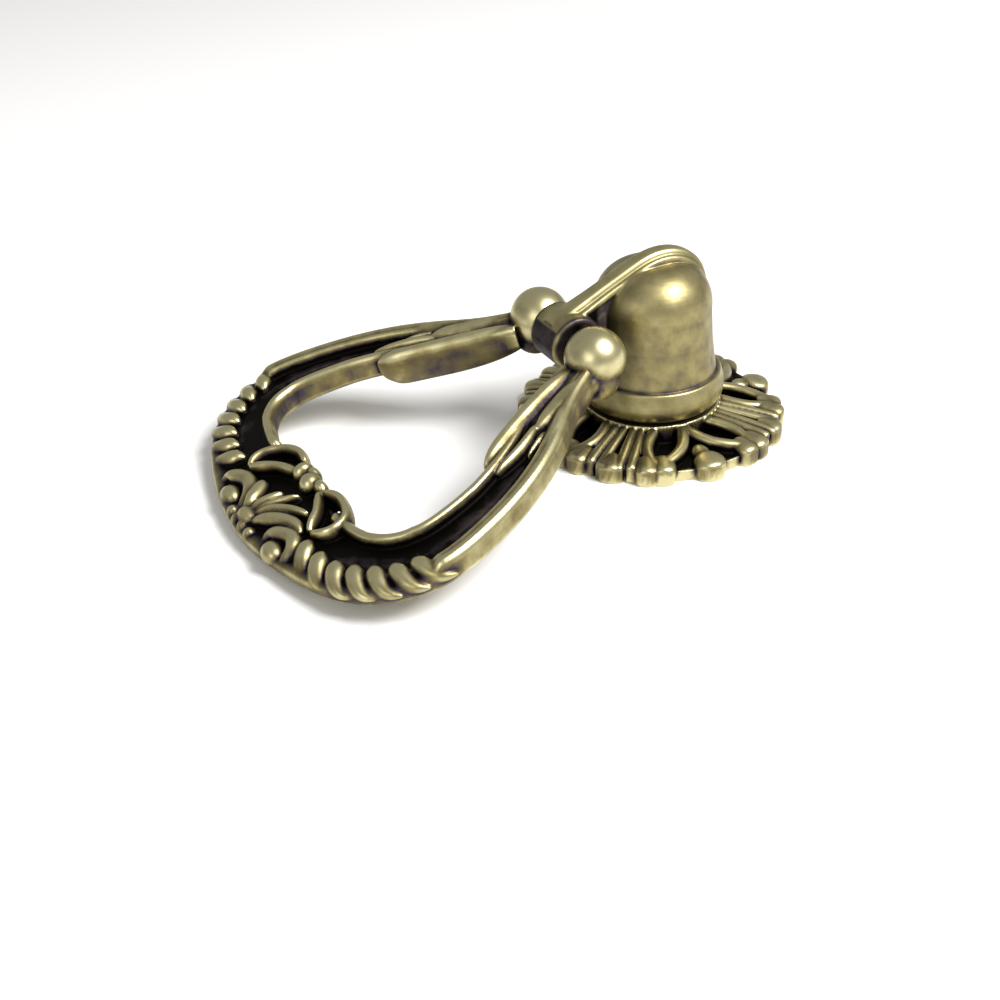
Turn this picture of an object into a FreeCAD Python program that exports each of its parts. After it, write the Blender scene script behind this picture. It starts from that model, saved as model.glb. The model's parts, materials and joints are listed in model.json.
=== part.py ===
import FreeCAD, Part
import math
import os

import Sketcher
from FreeCAD import Placement, Rotation, Vector

# Ring pull handle for a drawer: a cast ring hangs by a pin from the eye of a round post, and
# the post stands in a flower-shaped backplate. Millimetres and degrees.
# Frame: the origin is the middle of the backplate's back face, +Z runs out along the post,
# and the ring hangs towards -Y with its pin along X.

SIZES = [
    ("rosette_radius", 19.0, "middle of the backplate to its outermost lobes"),
    ("rosette_edge_height", 2.6, "height of the ornament at the backplate's edge"),
    ("seat_height", 3.9, "height of the face that the post's collar stands on"),
    ("seat_radius", 9.5, "radius of that face"),
    ("field_depth", 1.1, "how far the ground lies below the petals"),
    ("petal_rim", 1.1, "width of a petal's raised rim"),
    ("rib_width", 0.85, "width of a rib between two petals"),
    ("knob_width", 4.0, "width of the knob between a pair of petals"),
    ("lobe_width", 5.2, "width of a corner lobe"),
    ("spigot_radius", 4.2, "stub of the post that goes into the backplate"),
    ("spigot_clearance", 0.15, "gap round the spigot"),
    ("spigot_recess", 0.3, "how far the spigot ends above the drawer front"),
    ("rosette_turn", -5.3, "how far the backplate is turned on the spigot"),
    ("collar_radius", 10.1, "collar at the foot of the post"),
    ("collar_height", 4.8, "collar's own height"),
    ("collar_bevel", 1.2, "bevel of the collar's upper edge"),
    ("post_radius", 8.1, "post just under its dome"),
    ("post_draft", 0.35, "how much wider the post is at its foot"),
    ("post_height", 25.1, "drawer front to the top of the dome"),
    ("dome_round", 5.8, "rounding of the dome's shoulder"),
    ("fin_thickness", 3.0, "plate that carries the eye and runs over the dome"),
    ("fin_slope", 21.5, "slope of the fin's crest from the eye up to the dome"),
    ("fin_bevel", 0.7, "bevel along the fin's crest"),
    ("pivot_reach", 13.5, "post's axis to the pin"),
    ("pivot_height", 16.3, "drawer front to the pin"),
    ("eye_radius", 4.4, "outside of the eye"),
    ("eye_width", 6.6, "length of the eye between the balls"),
    ("screw_radius", 1.65, "tapped hole for the drawer's screw"),
    ("screw_depth", 9.0, "depth of that hole from the spigot's end"),
    ("pin_radius", 1.25, "hinge pin"),
    ("pin_clearance", 0.05, "running gap round the pin in the eye"),
    ("pin_seat_gap", 0.01, "gap round the pin in the balls"),
    ("pin_cover", 1.2, "metal left over the pin's closed end"),
    ("pin_chamfer", 0.25, "chamfer at the pin's ends"),
    ("side_clearance", 0.12, "gap between a ball and the eye"),
    ("ball_radius", 4.1, "ball at each end of the ring"),
    ("ball_facing", 0.25, "flat taken off a ball where it faces the eye"),
    ("ring_half_width", 28.4, "middle of the ring to its outer edge"),
    ("ring_reach", 50.1, "pin to the ring's far edge"),
    ("bar_width", 9.0, "ring's bar at its widest stretch"),
    ("bar_thickness", 4.0, "ring's bar from underside to rim"),
    ("crest_rise", 1.0, "ring's rims above the plane of the pin"),
    ("bar_bevel", 1.0, "bevel of the bar's lower edges"),
    ("rim_width", 1.7, "raised rim on each side of the channel"),
    ("rim_bevel", 0.4, "bevel of the rims"),
    ("channel_depth", 1.6, "channel between the rims"),
    ("rest_gap", 0.05, "gap between the ring's far edge and the drawer front"),
    ("bead_length", 5.6, "bead of the rope edge, from end to end"),
    ("bead_width", 2.3, "bead across"),
    ("bead_rise", 1.25, "bead's half height"),
    ("bead_slant", 42.0, "turn of a bead from straight across the edge"),
    ("bead_dip", 18.0, "how far a bead's outer end dips down the bar's side"),
    ("leaf_rise", 0.6, "how far the arm leaves stand above the rims"),
    ("leaf_groove", 0.7, "groove between the two blades of an arm leaf"),
    ("finger_width", 1.7, "finger of the palmette"),
    ("scroll_radius", 3.0, "scroll beside the palmette, to the middle of its roll"),
    ("scroll_roll", 0.95, "radius of the scroll's roll"),
    ("loop_rim", 1.3, "rim of the open leaf beside the palmette"),
]
BEAD_COUNT = 7
SECTOR_COUNT = 4
BALL_CHORDS = 9
DOME_CHORDS = 7

doc = FreeCAD.newDocument("RingPullHandle")
sheet = doc.addObject("Spreadsheet::Sheet", "Sizes")
for row, (alias, value, note) in enumerate(SIZES, start=1):
    sheet.set(f"A{row}", alias)
    sheet.set(f"B{row}", str(value))
    sheet.set(f"C{row}", note)
    sheet.setAlias(f"B{row}", alias)
doc.recompute()


def size(alias):
    """One driving size from the sheet, as a plain number."""
    return float(sheet.get(alias))


def add(kind, name, **expressions):
    """A document object whose properties follow expressions over the sheet's sizes."""
    obj = doc.addObject(kind, name)
    for prop, expression in expressions.items():
        obj.setExpression(prop, expression)
    return obj


def shaped(name, shape):
    """A document object that holds a form no primitive gives."""
    obj = doc.addObject("Part::Feature", name)
    obj.Shape = shape
    return obj


def joined(name, pieces):
    """One solid from several objects."""
    obj = doc.addObject("Part::MultiFuse", name)
    obj.Shapes = pieces
    return obj


def cut_from(name, base, tool):
    """The base with the tool taken away."""
    obj = doc.addObject("Part::Cut", name)
    obj.Base = base
    obj.Tool = tool
    return obj


def outline_sketch(body, name, plane, corners):
    """A closed outline of straight lines on one of the body's planes.

    Each corner is a pair of expressions, or None for a corner on that axis.
    """
    sketch = body.newObject("Sketcher::SketchObject", name)
    face = next(item for item in body.Origin.OriginFeatures if item.Role == plane)
    sketch.AttachmentSupport = [(face, "")]
    sketch.MapMode = "FlatFace"
    count = len(corners)
    start_radius = 5.0
    points = []
    for index in range(count):
        turn = math.tau * index / count
        points.append(
            Vector(
                start_radius * (2 + math.cos(turn)),
                start_radius * (2 + math.sin(turn)),
                0,
            )
        )
    for start, end in zip(points, points[1:] + points[:1]):
        sketch.addGeometry(Part.LineSegment(start, end), False)
    for index in range(count):
        following = (index + 1) % count
        sketch.addConstraint(Sketcher.Constraint("Coincident", index, 2, following, 1))
    for index, (across, along) in enumerate(corners):
        held = (
            ("DistanceX", -2, points[index].x, across),
            ("DistanceY", -1, points[index].y, along),
        )
        for kind, axis, value, expression in held:
            if expression is None:
                sketch.addConstraint(Sketcher.Constraint("PointOnObject", index, 1, axis))
                continue
            number = sketch.addConstraint(
                Sketcher.Constraint(kind, -1, 1, index, 1, value)
            )
            sketch.setExpression(f"Constraints[{number}]", expression)
    return sketch


def lying_cylinder(name, radius, length, start):
    """A cylinder along X whose sizes and starting point are expressions."""
    cylinder = add("Part::Cylinder", name, Radius=radius, Height=length)
    cylinder.Placement = Placement(Vector(), Rotation(Vector(0, 1, 0), 90))
    for axis, expression in zip("xyz", start):
        if expression is not None:
            cylinder.setExpression(f"Placement.Base.{axis}", expression)
    return cylinder


def turned(body, name, sketch):
    """A full turn of a sketch about its upright axis."""
    feature = body.newObject("PartDesign::Revolution", name)
    feature.Profile = sketch
    feature.ReferenceAxis = (sketch, ["V_Axis"])
    feature.Angle = 360
    doc.recompute()
    return feature


def dressed(body, kind, name, base, test, amount):
    """Round or bevel the edges of a feature that pass a test, by an expression's amount."""
    feature = body.newObject(f"PartDesign::{kind}", name)
    picked = [f"Edge{n}" for n, edge in enumerate(base.Shape.Edges, 1) if test(edge)]
    feature.Base = (base, picked)
    feature.setExpression("Radius" if kind == "Fillet" else "Size", amount)
    doc.recompute()
    return feature


def is_level_circle(edge, radius, height, reach=0.01):
    """True for a whole circle about the post's axis, of a given radius and height."""
    if edge.Curve.TypeId != "Part::GeomCircle":
        return False
    centre = edge.Curve.Center
    upright = math.hypot(centre.x, centre.y) < reach
    return upright and abs(edge.Curve.Radius - radius) < reach and abs(centre.z - height) < reach


# Backplate: a flat ground with raised ornament, four sectors round the spigot hole. The top of
# each piece of ornament slopes from the collar's seat down to the plate's edge.

NOMINAL_RADIUS = 19.0
CROWN_SLOPE = math.degrees(
    math.atan2(
        size("seat_height") - size("rosette_edge_height"),
        size("rosette_radius") - size("seat_radius"),
    )
)


def plan_point(radius, angle):
    """A point of the backplate's plan from a radius and an angle in degrees."""
    turn = math.radians(angle)
    return Vector(radius * math.cos(turn), radius * math.sin(turn), 0)


def petal_plan(side):
    """One open petal: a rim along two arcs that meet at its tip and open under the collar."""
    share = size("rosette_radius") / NOMINAL_RADIUS
    root_low = Vector(8.9, 0.1 * side, 0)
    root_high = Vector(8.6, 3.7 * side, 0)
    tip = Vector(16.1 * share, 7.1 * side * share, 0)
    low = Part.Arc(root_low, Vector(13.4 * share, 2.2 * side * share, 0), tip)
    high = Part.Arc(tip, Vector(12.3 * share, 6.75 * side * share, 0), root_high)
    sides = [low, high, Part.LineSegment(root_high, root_low)]
    crest = Part.Face(Part.Wire([edge.toShape() for edge in sides]))
    half_rim = size("petal_rim") / 2
    return crest.makeOffset2D(half_rim).cut(crest.makeOffset2D(-half_rim))


def bar_plan(start, end, start_width, end_width):
    """A flat bar with a round outer end, wider or narrower towards it."""
    along = (end - start).normalize()
    across = Vector(-along.y, along.x, 0)
    corners = [
        start + across * start_width / 2,
        start - across * start_width / 2,
        end - across * end_width / 2,
        end + across * end_width / 2,
    ]
    nose = end + along * end_width / 2
    edges = [
        Part.LineSegment(corners[0], corners[1]).toShape(),
        Part.LineSegment(corners[1], corners[2]).toShape(),
        Part.Arc(corners[2], nose, corners[3]).toShape(),
        Part.LineSegment(corners[3], corners[0]).toShape(),
    ]
    return Part.Face(Part.Wire(edges))


def kite_plan(near, wide, far, width, angle):
    """A corner lobe: a kite with a broad rounded end, pointing outwards at an angle."""
    half = width / 2
    tip = Vector(near, 0, 0)
    right = Vector(wide, -half, 0)
    left = Vector(wide, half, 0)
    edges = [
        Part.LineSegment(tip, right).toShape(),
        Part.Arc(right, Vector(far, 0, 0), left).toShape(),
        Part.LineSegment(left, tip).toShape(),
    ]
    face = Part.Face(Part.Wire(edges))
    face.rotate(Vector(), Vector(0, 0, 1), angle)
    return face


def sector_plans():
    """The ornament of one sector, seen from above, with its knob on +X: plans and their angles."""
    edge = size("rosette_radius")
    rib = size("rib_width")
    knob = size("knob_width") / 2
    diagonal = 180.0 / SECTOR_COUNT
    neck = Vector(14.9, 0, 0)
    plans = [(bar_plan(neck, Vector(edge - knob, 0, 0), knob, 2 * knob), 0)]
    for side in (-1, 1):
        petal_angle = 22.0 * side
        plans.append((petal_plan(side), petal_angle))
        lobe = plan_point(edge - 1.9, side * 24.5)
        plans.append((bar_plan(plan_point(15.6, side * 23.5), lobe, 1.6, 3.4), petal_angle))
        for root_angle, end_angle, end_radius in ((9.5, 10.8, 15.6), (3.4, 3.9, 13.4)):
            start = plan_point(9.0, diagonal + side * root_angle)
            end = plan_point(end_radius, diagonal + side * end_angle)
            plans.append((bar_plan(start, end, rib, rib * 1.3), diagonal))
    lobe = kite_plan(12.6, edge - 1.9, edge - 0.2, size("lobe_width"), diagonal)
    plans.append((lobe, diagonal))
    return plans


def below_crown(solid, angle):
    """What of a solid lies below the slope that falls outwards at an angle."""
    reach = 3 * size("rosette_radius")
    slab = Part.makeBox(reach, reach, size("seat_height"), Vector(0, -reach / 2, 0))
    slab.translate(Vector(-size("seat_radius"), 0, -size("seat_height")))
    slab.rotate(Vector(), Vector(0, 1, 0), CROWN_SLOPE)
    slab.translate(Vector(size("seat_radius"), 0, size("seat_height")))
    block = Part.makeBox(reach, reach, size("seat_height"), Vector(0, -reach / 2, 0))
    wedge = slab.common(block)
    wedge.rotate(Vector(), Vector(0, 0, 1), angle)
    return solid.common(wedge)


def rosette_ornament():
    """Every sector's ornament, as one shape of overlapping solids joined together."""
    solids = []
    for plan, angle in sector_plans():
        solid = below_crown(plan.extrude(Vector(0, 0, size("seat_height"))), angle)
        for sector in range(SECTOR_COUNT):
            copy = solid.copy()
            copy.rotate(Vector(), Vector(0, 0, 1), 360.0 / SECTOR_COUNT * sector)
            solids.append(copy)
    return solids[0].fuse(solids[1:]).removeSplitter()


ground = add(
    "Part::Cylinder",
    "rosette_ground",
    Radius="Sizes.rosette_radius - 3.2",
    Height="Sizes.rosette_edge_height - Sizes.field_depth",
)
seat = add(
    "Part::Cylinder",
    "rosette_seat",
    Radius="Sizes.seat_radius",
    Height="Sizes.seat_height",
)
ornament = shaped("rosette_ornament", rosette_ornament())
plate = joined("rosette", [ground, seat, ornament])
spigot_hole = add(
    "Part::Cylinder",
    "spigot_hole",
    Radius="Sizes.spigot_radius + Sizes.spigot_clearance",
    Height="Sizes.seat_height * 3",
)
spigot_hole.setExpression("Placement.Base.z", "-Sizes.seat_height")
backplate = cut_from("backplate", plate, spigot_hole)
backplate.setExpression("Placement.Rotation.Angle", "Sizes.rosette_turn")


# Post: collar, round post and dome are turned as one form, and the fin with its eye is cast on.

turned_post = doc.addObject("PartDesign::Body", "turned_post")
collar_top = "Sizes.seat_height + Sizes.collar_height"
dome_corners = []
for number in range(DOME_CHORDS + 1):
    turn = f"{90.0 / DOME_CHORDS * number} deg"
    dome_corners.append(
        (
            f"Sizes.post_radius - Sizes.dome_round * (1 - cos({turn}))",
            f"Sizes.post_height - Sizes.dome_round * (1 - sin({turn}))",
        )
    )
post_section = outline_sketch(
    turned_post,
    "post_section",
    "XZ_Plane",
    [
        (None, "Sizes.spigot_recess"),
        ("Sizes.spigot_radius", "Sizes.spigot_recess"),
        ("Sizes.spigot_radius", "Sizes.seat_height"),
        ("Sizes.collar_radius", "Sizes.seat_height"),
        ("Sizes.collar_radius", collar_top),
        ("Sizes.post_radius + Sizes.post_draft", collar_top),
        *dome_corners,
        (None, "Sizes.post_height"),
    ],
)
collar_top_height = size("seat_height") + size("collar_height")
foot_radius = size("post_radius") + size("post_draft")
bevels = [
    ("collar_edge", size("collar_radius"), collar_top_height, "Sizes.collar_bevel"),
    ("collar_foot", size("collar_radius"), size("seat_height"), "Sizes.collar_bevel / 2"),
    ("post_foot", foot_radius, collar_top_height, "Sizes.collar_bevel / 3"),
]
feature = turned(turned_post, "post_turn", post_section)
for name, radius, height, amount in bevels:
    feature = dressed(
        turned_post,
        "Chamfer",
        name,
        feature,
        lambda edge: is_level_circle(edge, radius, height),
        amount,
    )

# The fin's crest rises in a straight line from the top of the eye, turns over the dome in one
# arc and runs out into the back of the dome.

fin = doc.addObject("PartDesign::Body", "fin")
eye_top = "(Sizes.pivot_height + Sizes.eye_radius / cos(Sizes.fin_slope))"
corner_reach = "(Sizes.post_radius * 0.42)"
crest_rise = f"(Sizes.pivot_reach + {corner_reach}) * tan(Sizes.fin_slope)"
fin_section = outline_sketch(
    fin,
    "fin_section",
    "YZ_Plane",
    [
        ("-Sizes.pivot_reach", "Sizes.pivot_height - Sizes.eye_radius"),
        ("-Sizes.pivot_reach", eye_top),
        (corner_reach, f"{eye_top} + {crest_rise}"),
        ("Sizes.post_radius - 0.1", "Sizes.pivot_height + 3"),
        (None, "Sizes.pivot_height - Sizes.eye_radius - 1"),
    ],
)
fin_plate = fin.newObject("PartDesign::Pad", "fin_plate")
fin_plate.Profile = fin_section
fin_plate.setExpression("Length", "Sizes.fin_thickness")
fin_plate.Midplane = True
doc.recompute()


def is_crest_corner(edge):
    """True for the edge across the fin where its rising crest turns down behind the dome."""
    middle = edge.CenterOfMass
    return middle.z > fin_plate.Shape.BoundBox.ZMax - 0.01 and abs(middle.x) < 0.01


def is_crest_edge(edge):
    """True for an edge along either side of the fin's crest."""
    middle = edge.valueAt((edge.FirstParameter + edge.LastParameter) / 2)
    on_side = edge.BoundBox.XLength < 0.01
    return on_side and middle.z > size("pivot_height") + size("eye_radius")


crest_radius = "Sizes.post_radius * 0.8"
crest_turn = dressed(fin, "Fillet", "crest_turn", fin_plate, is_crest_corner, crest_radius)
dressed(fin, "Chamfer", "crest_edges", crest_turn, is_crest_edge, "Sizes.fin_bevel")
eye = lying_cylinder(
    "eye",
    "Sizes.eye_radius",
    "Sizes.eye_width",
    ("-Sizes.eye_width / 2", "-Sizes.pivot_reach", "Sizes.pivot_height"),
)
post_casting = joined("post_casting", [turned_post, fin, eye])
pin_bore = lying_cylinder(
    "pin_bore",
    "Sizes.pin_radius + Sizes.pin_clearance",
    "Sizes.eye_width * 2",
    ("-Sizes.eye_width", "-Sizes.pivot_reach", "Sizes.pivot_height"),
)
screw_hole = add(
    "Part::Cylinder", "screw_hole", Radius="Sizes.screw_radius", Height="Sizes.screw_depth * 2"
)
screw_hole.setExpression("Placement.Base.z", "Sizes.spigot_recess - Sizes.screw_depth")
post = cut_from("post", post_casting, joined("post_bores", [pin_bore, screw_hole]))
doc.recompute()

# Hinge pin: a plain pin that fills the eye, closed in under the ball on the +X side.

BALL_PLACE = "(Sizes.eye_width / 2 + Sizes.side_clearance + Sizes.ball_radius - Sizes.ball_facing)"
ball_place = (
    size("eye_width") / 2 + size("side_clearance") + size("ball_radius") - size("ball_facing")
)
pin_near = f"({BALL_PLACE} + Sizes.ball_radius - Sizes.pin_cover)"
pin_far = f"({BALL_PLACE} + Sizes.ball_radius * 0.93)"
hinge_pin = doc.addObject("PartDesign::Body", "hinge_pin")
pin_section = outline_sketch(
    hinge_pin,
    "pin_section",
    "XY_Plane",
    [
        (f"-{pin_far}", None),
        (f"-{pin_far}", "Sizes.pin_radius - Sizes.pin_chamfer"),
        (f"-{pin_far} + Sizes.pin_chamfer", "Sizes.pin_radius"),
        (f"{pin_near} - Sizes.pin_chamfer", "Sizes.pin_radius"),
        (pin_near, "Sizes.pin_radius - Sizes.pin_chamfer"),
        (pin_near, None),
    ],
)
pin_turn = hinge_pin.newObject("PartDesign::Revolution", "pin_turn")
pin_turn.Profile = pin_section
pin_turn.ReferenceAxis = (pin_section, ["H_Axis"])
pin_turn.Angle = 360
hinge_pin.setExpression("Placement.Base.y", "-Sizes.pivot_reach")
hinge_pin.setExpression("Placement.Base.z", "Sizes.pivot_height")

# Pull ring, in its own plane: the pin's axis is X, the ring reaches towards -Y, and +Z is the
# carved face. Its outer edge is one smooth curve through a few places, each with the share of
# the ring's half width, the share of its reach and the share of the bar's full width there.

EDGE_PLACES = [
    (0.361, 0.038, 0.56),
    (0.461, 0.120, 0.62),
    (0.613, 0.210, 0.78),
    (0.764, 0.313, 0.82),
    (0.884, 0.433, 0.85),
    (0.965, 0.555, 0.92),
    (1.000, 0.671, 1.00),
    (0.915, 0.812, 1.00),
    (0.725, 0.906, 1.00),
    (0.472, 0.960, 1.05),
    (0.218, 0.990, 1.15),
    (0.000, 1.000, 1.22),
]
CREST = size("crest_rise")
UNDERSIDE = CREST - size("bar_thickness")
FLOOR = CREST - size("channel_depth")


def mirrored(points):
    """Points of one half of the ring and their mirror images, in order round the ring."""
    return points + [Vector(-p.x, p.y, p.z) for p in reversed(points[:-1])]


def smooth(points):
    """A smooth curve through points."""
    curve = Part.BSplineCurve()
    curve.interpolate(points)
    return curve


outer_points = [
    Vector(wide * size("ring_half_width"), -reach * size("ring_reach"), 0)
    for wide, reach, _ in EDGE_PLACES
]
outer_curve = smooth(mirrored(outer_points))
place_marks = [outer_curve.parameter(point) for point in outer_points]


def along_edge(place):
    """The outer edge's point, inward direction and bar width at a place along the half ring."""
    first = min(int(place), len(EDGE_PLACES) - 2)
    share = place - first
    mark = place_marks[first] * (1 - share) + place_marks[first + 1] * share
    point = outer_curve.value(mark)
    way = outer_curve.tangent(mark)[0]
    inward = Vector(way.y, -way.x, 0)
    if inward.dot(Vector(point.x, point.y + size("ring_reach") / 2, 0)) > 0:
        inward = inward * -1
    width = EDGE_PLACES[first][2] * (1 - share) + EDGE_PLACES[first + 1][2] * share
    return point, inward, width * size("bar_width")


def bar_point(place, depth):
    """A point of the bar: 0 deep is its outer edge and 1 deep its inner edge."""
    point, inward, width = along_edge(place)
    return point + inward * width * depth


def strip(first, outer_gap, inner_gap):
    """The face between two lines along the bar, from one place round to its mirror image.

    Gaps are distances in from the outer edge and from the inner edge.
    """
    places = [first] + [n for n in range(len(EDGE_PLACES)) if n > first]
    outer, inner = [], []
    for place in places:
        point, inward, width = along_edge(place)
        outer.append(point + inward * outer_gap)
        inner.append(point + inward * (width - inner_gap))
    outer, inner = mirrored(outer), mirrored(inner)
    edges = [
        smooth(outer).toShape(),
        Part.LineSegment(outer[-1], inner[-1]).toShape(),
        smooth(inner[::-1]).toShape(),
        Part.LineSegment(inner[0], outer[0]).toShape(),
    ]
    return Part.Face(Part.Wire(edges))


def raised(face, low, high):
    """A plan of the ring given a lower and an upper height."""
    solid = face.extrude(Vector(0, 0, high - low))
    solid.translate(Vector(0, 0, low))
    return solid


ROPE_FROM = 6.15
ROPE_TO = 9.2
CHANNEL_FROM = 2.0


def bar_form():
    """The bar with its channel and with the low ledge that carries the rope edge."""
    bar = raised(strip(0, 0, 0), UNDERSIDE, CREST)
    long_edges = [edge for edge in bar.Edges if edge.Length > size("ring_reach")]
    below = [edge for edge in long_edges if edge.BoundBox.ZMax < UNDERSIDE + 0.01]
    bar = bar.makeChamfer(size("bar_bevel"), below)
    rim = size("rim_width")
    above = 2 * size("channel_depth")
    channel = raised(strip(CHANNEL_FROM, rim, rim), FLOOR, FLOOR + above)
    bar = bar.cut(channel)
    tops = [
        edge
        for edge in bar.Edges
        if edge.Length > size("ring_reach") and edge.BoundBox.ZMin > CREST - 0.01
    ]
    bar = bar.makeChamfer(size("rim_bevel"), tops)
    ledge = raised(strip(ROPE_FROM, -rim, 0), FLOOR, FLOOR + above)
    rope_side = raised(strip(ROPE_FROM, rim, -rim), FLOOR - 1, FLOOR + above + 1)
    return bar.cut(ledge.cut(rope_side))


ring_bar = shaped("ring_bar", bar_form())
doc.recompute()


BEAD_PROFILE = [(-0.5, 0.12), (-0.2, 0.7), (0.12, 1.0), (0.36, 0.84), (0.5, 0.3)]
EVEN_PROFILE = [(-0.5, 0.3), (-0.3, 0.85), (0.3, 0.85), (0.5, 0.3)]
BEAD_SIDES = 8


def bead(profile, length, half_width, centre, heading, dip=0.0):
    """A cut bead: eight-sided rings, given by shares of its length and of its half width.

    Its thick end points to the heading, and its tail dips below the ring's plane.
    """
    rings = []
    for along, wide in profile:
        corners = []
        for number in range(BEAD_SIDES):
            turn = math.tau * (number + 0.5) / BEAD_SIDES
            across = Vector(0, math.cos(turn), math.sin(turn)) * wide * half_width
            corners.append(Vector(along * length, 0, 0) + across)
        rings.append(corners)
    outlines = [rings[0], rings[-1]]
    for near, far in zip(rings, rings[1:]):
        for number in range(BEAD_SIDES):
            following = (number + 1) % BEAD_SIDES
            outlines.append([near[number], near[following], far[following], far[number]])
    faces = [Part.Face(Part.makePolygon(outline + outline[:1])) for outline in outlines]
    solid = Part.Solid(Part.Shell(faces))
    if solid.Volume < 0:
        solid.reverse()
    turn = Rotation(Vector(0, 0, 1), heading) * Rotation(Vector(0, 1, 0), -dip)
    solid.Placement = Placement(centre, turn)
    return solid


def heading_of(direction):
    """The compass turn of a direction in the ring's plane, in degrees from +X."""
    return math.degrees(math.atan2(direction.y, direction.x))


def rope_beads():
    """The slanted beads of the rope edge, both sides."""
    beads = []
    slant = math.radians(size("bead_slant"))
    for number in range(BEAD_COUNT):
        place = ROPE_FROM + (ROPE_TO - ROPE_FROM) * (number + 0.35) / BEAD_COUNT
        point, inward, _ = along_edge(place)
        onward = Vector(inward.y, -inward.x, 0)
        centre = point + inward * size("rim_width") * 1.15
        direction = inward * math.cos(slant) + onward * math.sin(slant)
        for side in (1, -1):
            where = Vector(centre.x * side, centre.y, FLOOR + 0.4)
            heading = heading_of(Vector(direction.x * side, direction.y, 0))
            half_width = size("bead_width") / 2
            beads.append(
                bead(BEAD_PROFILE, size("bead_length"), half_width, where, heading, size("bead_dip"))
            )
    return beads


def palmette():
    """Five fingers that fan out from the middle of the ring's far edge."""
    reach = size("ring_reach")
    fan = [(0.0, 0.0, 7.9), (1.0, 3.1, 7.4), (1.8, 6.4, 6.2)]
    fingers = []
    for root_side, tip_side, tip_back in fan:
        for side in (1, -1) if tip_side else (1,):
            root = Vector(root_side * side, -reach + 2.2, FLOOR + 0.7)
            tip = Vector(tip_side * side, -reach + tip_back, FLOOR + 0.7)
            along = tip - root
            length = along.Length + size("finger_width")
            half_width = size("finger_width") / 2
            middle = (root + tip) / 2
            fingers.append(bead(BEAD_PROFILE, length, half_width, middle, heading_of(along)))
    return fingers


def scroll(side):
    """The half-round scroll on one side of the palmette, with the bead that it curls round."""
    middle = Vector(7.7 * side, -size("ring_reach") + 1.9, FLOOR + 0.75)
    roll = size("scroll_roll")
    corners = []
    for number in range(6):
        turn = math.tau * number / 6
        corners.append(
            middle + Vector(size("scroll_radius") + roll * math.cos(turn), 0, roll * math.sin(turn))
        )
    section = Part.Face(Part.makePolygon(corners + corners[:1]))
    arch = section.revolve(middle, Vector(0, 0, 1), 180)
    return [arch, bead(EVEN_PROFILE, roll * 2.6, roll * 1.3, middle, 0)]


def open_leaf(side):
    """The open leaf beside the palmette: a rim along two arcs that meet at its two tips."""
    reach = size("ring_reach")
    near = Vector(4.0 * side, -reach + 11.7, 0)
    far = Vector(10.8 * side, -reach + 6.6, 0)
    inner_side = Part.Arc(near, Vector(9.0 * side, -reach + 10.8, 0), far)
    outer_side = Part.Arc(far, Vector(6.2 * side, -reach + 8.7, 0), near)
    crest = Part.Face(Part.Wire([inner_side.toShape(), outer_side.toShape()]))
    half_rim = size("loop_rim") / 2
    plan = crest.makeOffset2D(half_rim).cut(crest.makeOffset2D(-half_rim))
    return raised(plan, UNDERSIDE + size("bar_bevel"), CREST + 0.2)


LEAF_OUTER = [(0.4, 0.20), (1.1, 0.11), (1.9, 0.10), (2.5, 0.11), (3.0, 0.20)]
LEAF_FORK = [(2.35, 0.36), (2.75, 0.47), (2.45, 0.60), (3.25, 0.70), (3.95, 0.84), (4.0, 1.07)]
LEAF_INNER = [(4.0, 1.07), (3.3, 1.12), (2.4, 1.10), (1.6, 1.03), (1.0, 0.92), (0.4, 0.80)]


def arm_leaf():
    """The leaf on the right arm: it covers the arm, forks over the channel's start and ends in
    a blunt tip that stands proud of the bar's inner side.
    """
    outer = [bar_point(*spot) for spot in LEAF_OUTER]
    fork = [bar_point(*spot) for spot in LEAF_FORK]
    inner = [bar_point(*spot) for spot in LEAF_INNER]
    edges = [smooth(outer).toShape()]
    corners = [outer[-1]] + fork
    for start, end in zip(corners, corners[1:]):
        edges.append(Part.LineSegment(start, end).toShape())
    edges.append(smooth(inner).toShape())
    edges.append(Part.LineSegment(inner[-1], outer[0]).toShape())
    plan = Part.Face(Part.Wire(edges))
    leaf = raised(plan, UNDERSIDE + size("bar_bevel") / 2, CREST + size("leaf_rise"))
    start, bend, end = bar_point(1.0, 0.60), bar_point(2.2, 0.72), bar_point(3.2, 0.90)
    vein = Part.Wire([Part.Arc(start, bend, end).toShape()])
    groove_face = Part.Face(vein.makeOffset2D(size("leaf_groove") / 2))
    return leaf.cut(raised(groove_face, CREST - 0.3, CREST + 2))


def mirror_image(shape):
    """The same form on the other arm."""
    return shape.mirror(Vector(), Vector(1, 0, 0))


eye_gap = add(
    "Part::Box",
    "eye_gap",
    Length="Sizes.eye_width + 2 * Sizes.side_clearance",
    Width="Sizes.ball_radius * 3",
    Height="Sizes.ball_radius * 3",
)
eye_gap.setExpression("Placement.Base.x", "-Sizes.eye_width / 2 - Sizes.side_clearance")
eye_gap.setExpression("Placement.Base.y", "-Sizes.ball_radius * 1.5")
eye_gap.setExpression("Placement.Base.z", "-Sizes.ball_radius * 1.5")
pin_seat = lying_cylinder(
    "pin_seat",
    "Sizes.pin_radius + Sizes.pin_seat_gap",
    f"{pin_near} + {BALL_PLACE} + 2 * Sizes.ball_radius",
    (f"-{BALL_PLACE} - 2 * Sizes.ball_radius", None, None),
)
ball_cuts = joined("ball_cuts", [eye_gap, pin_seat])


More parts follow.
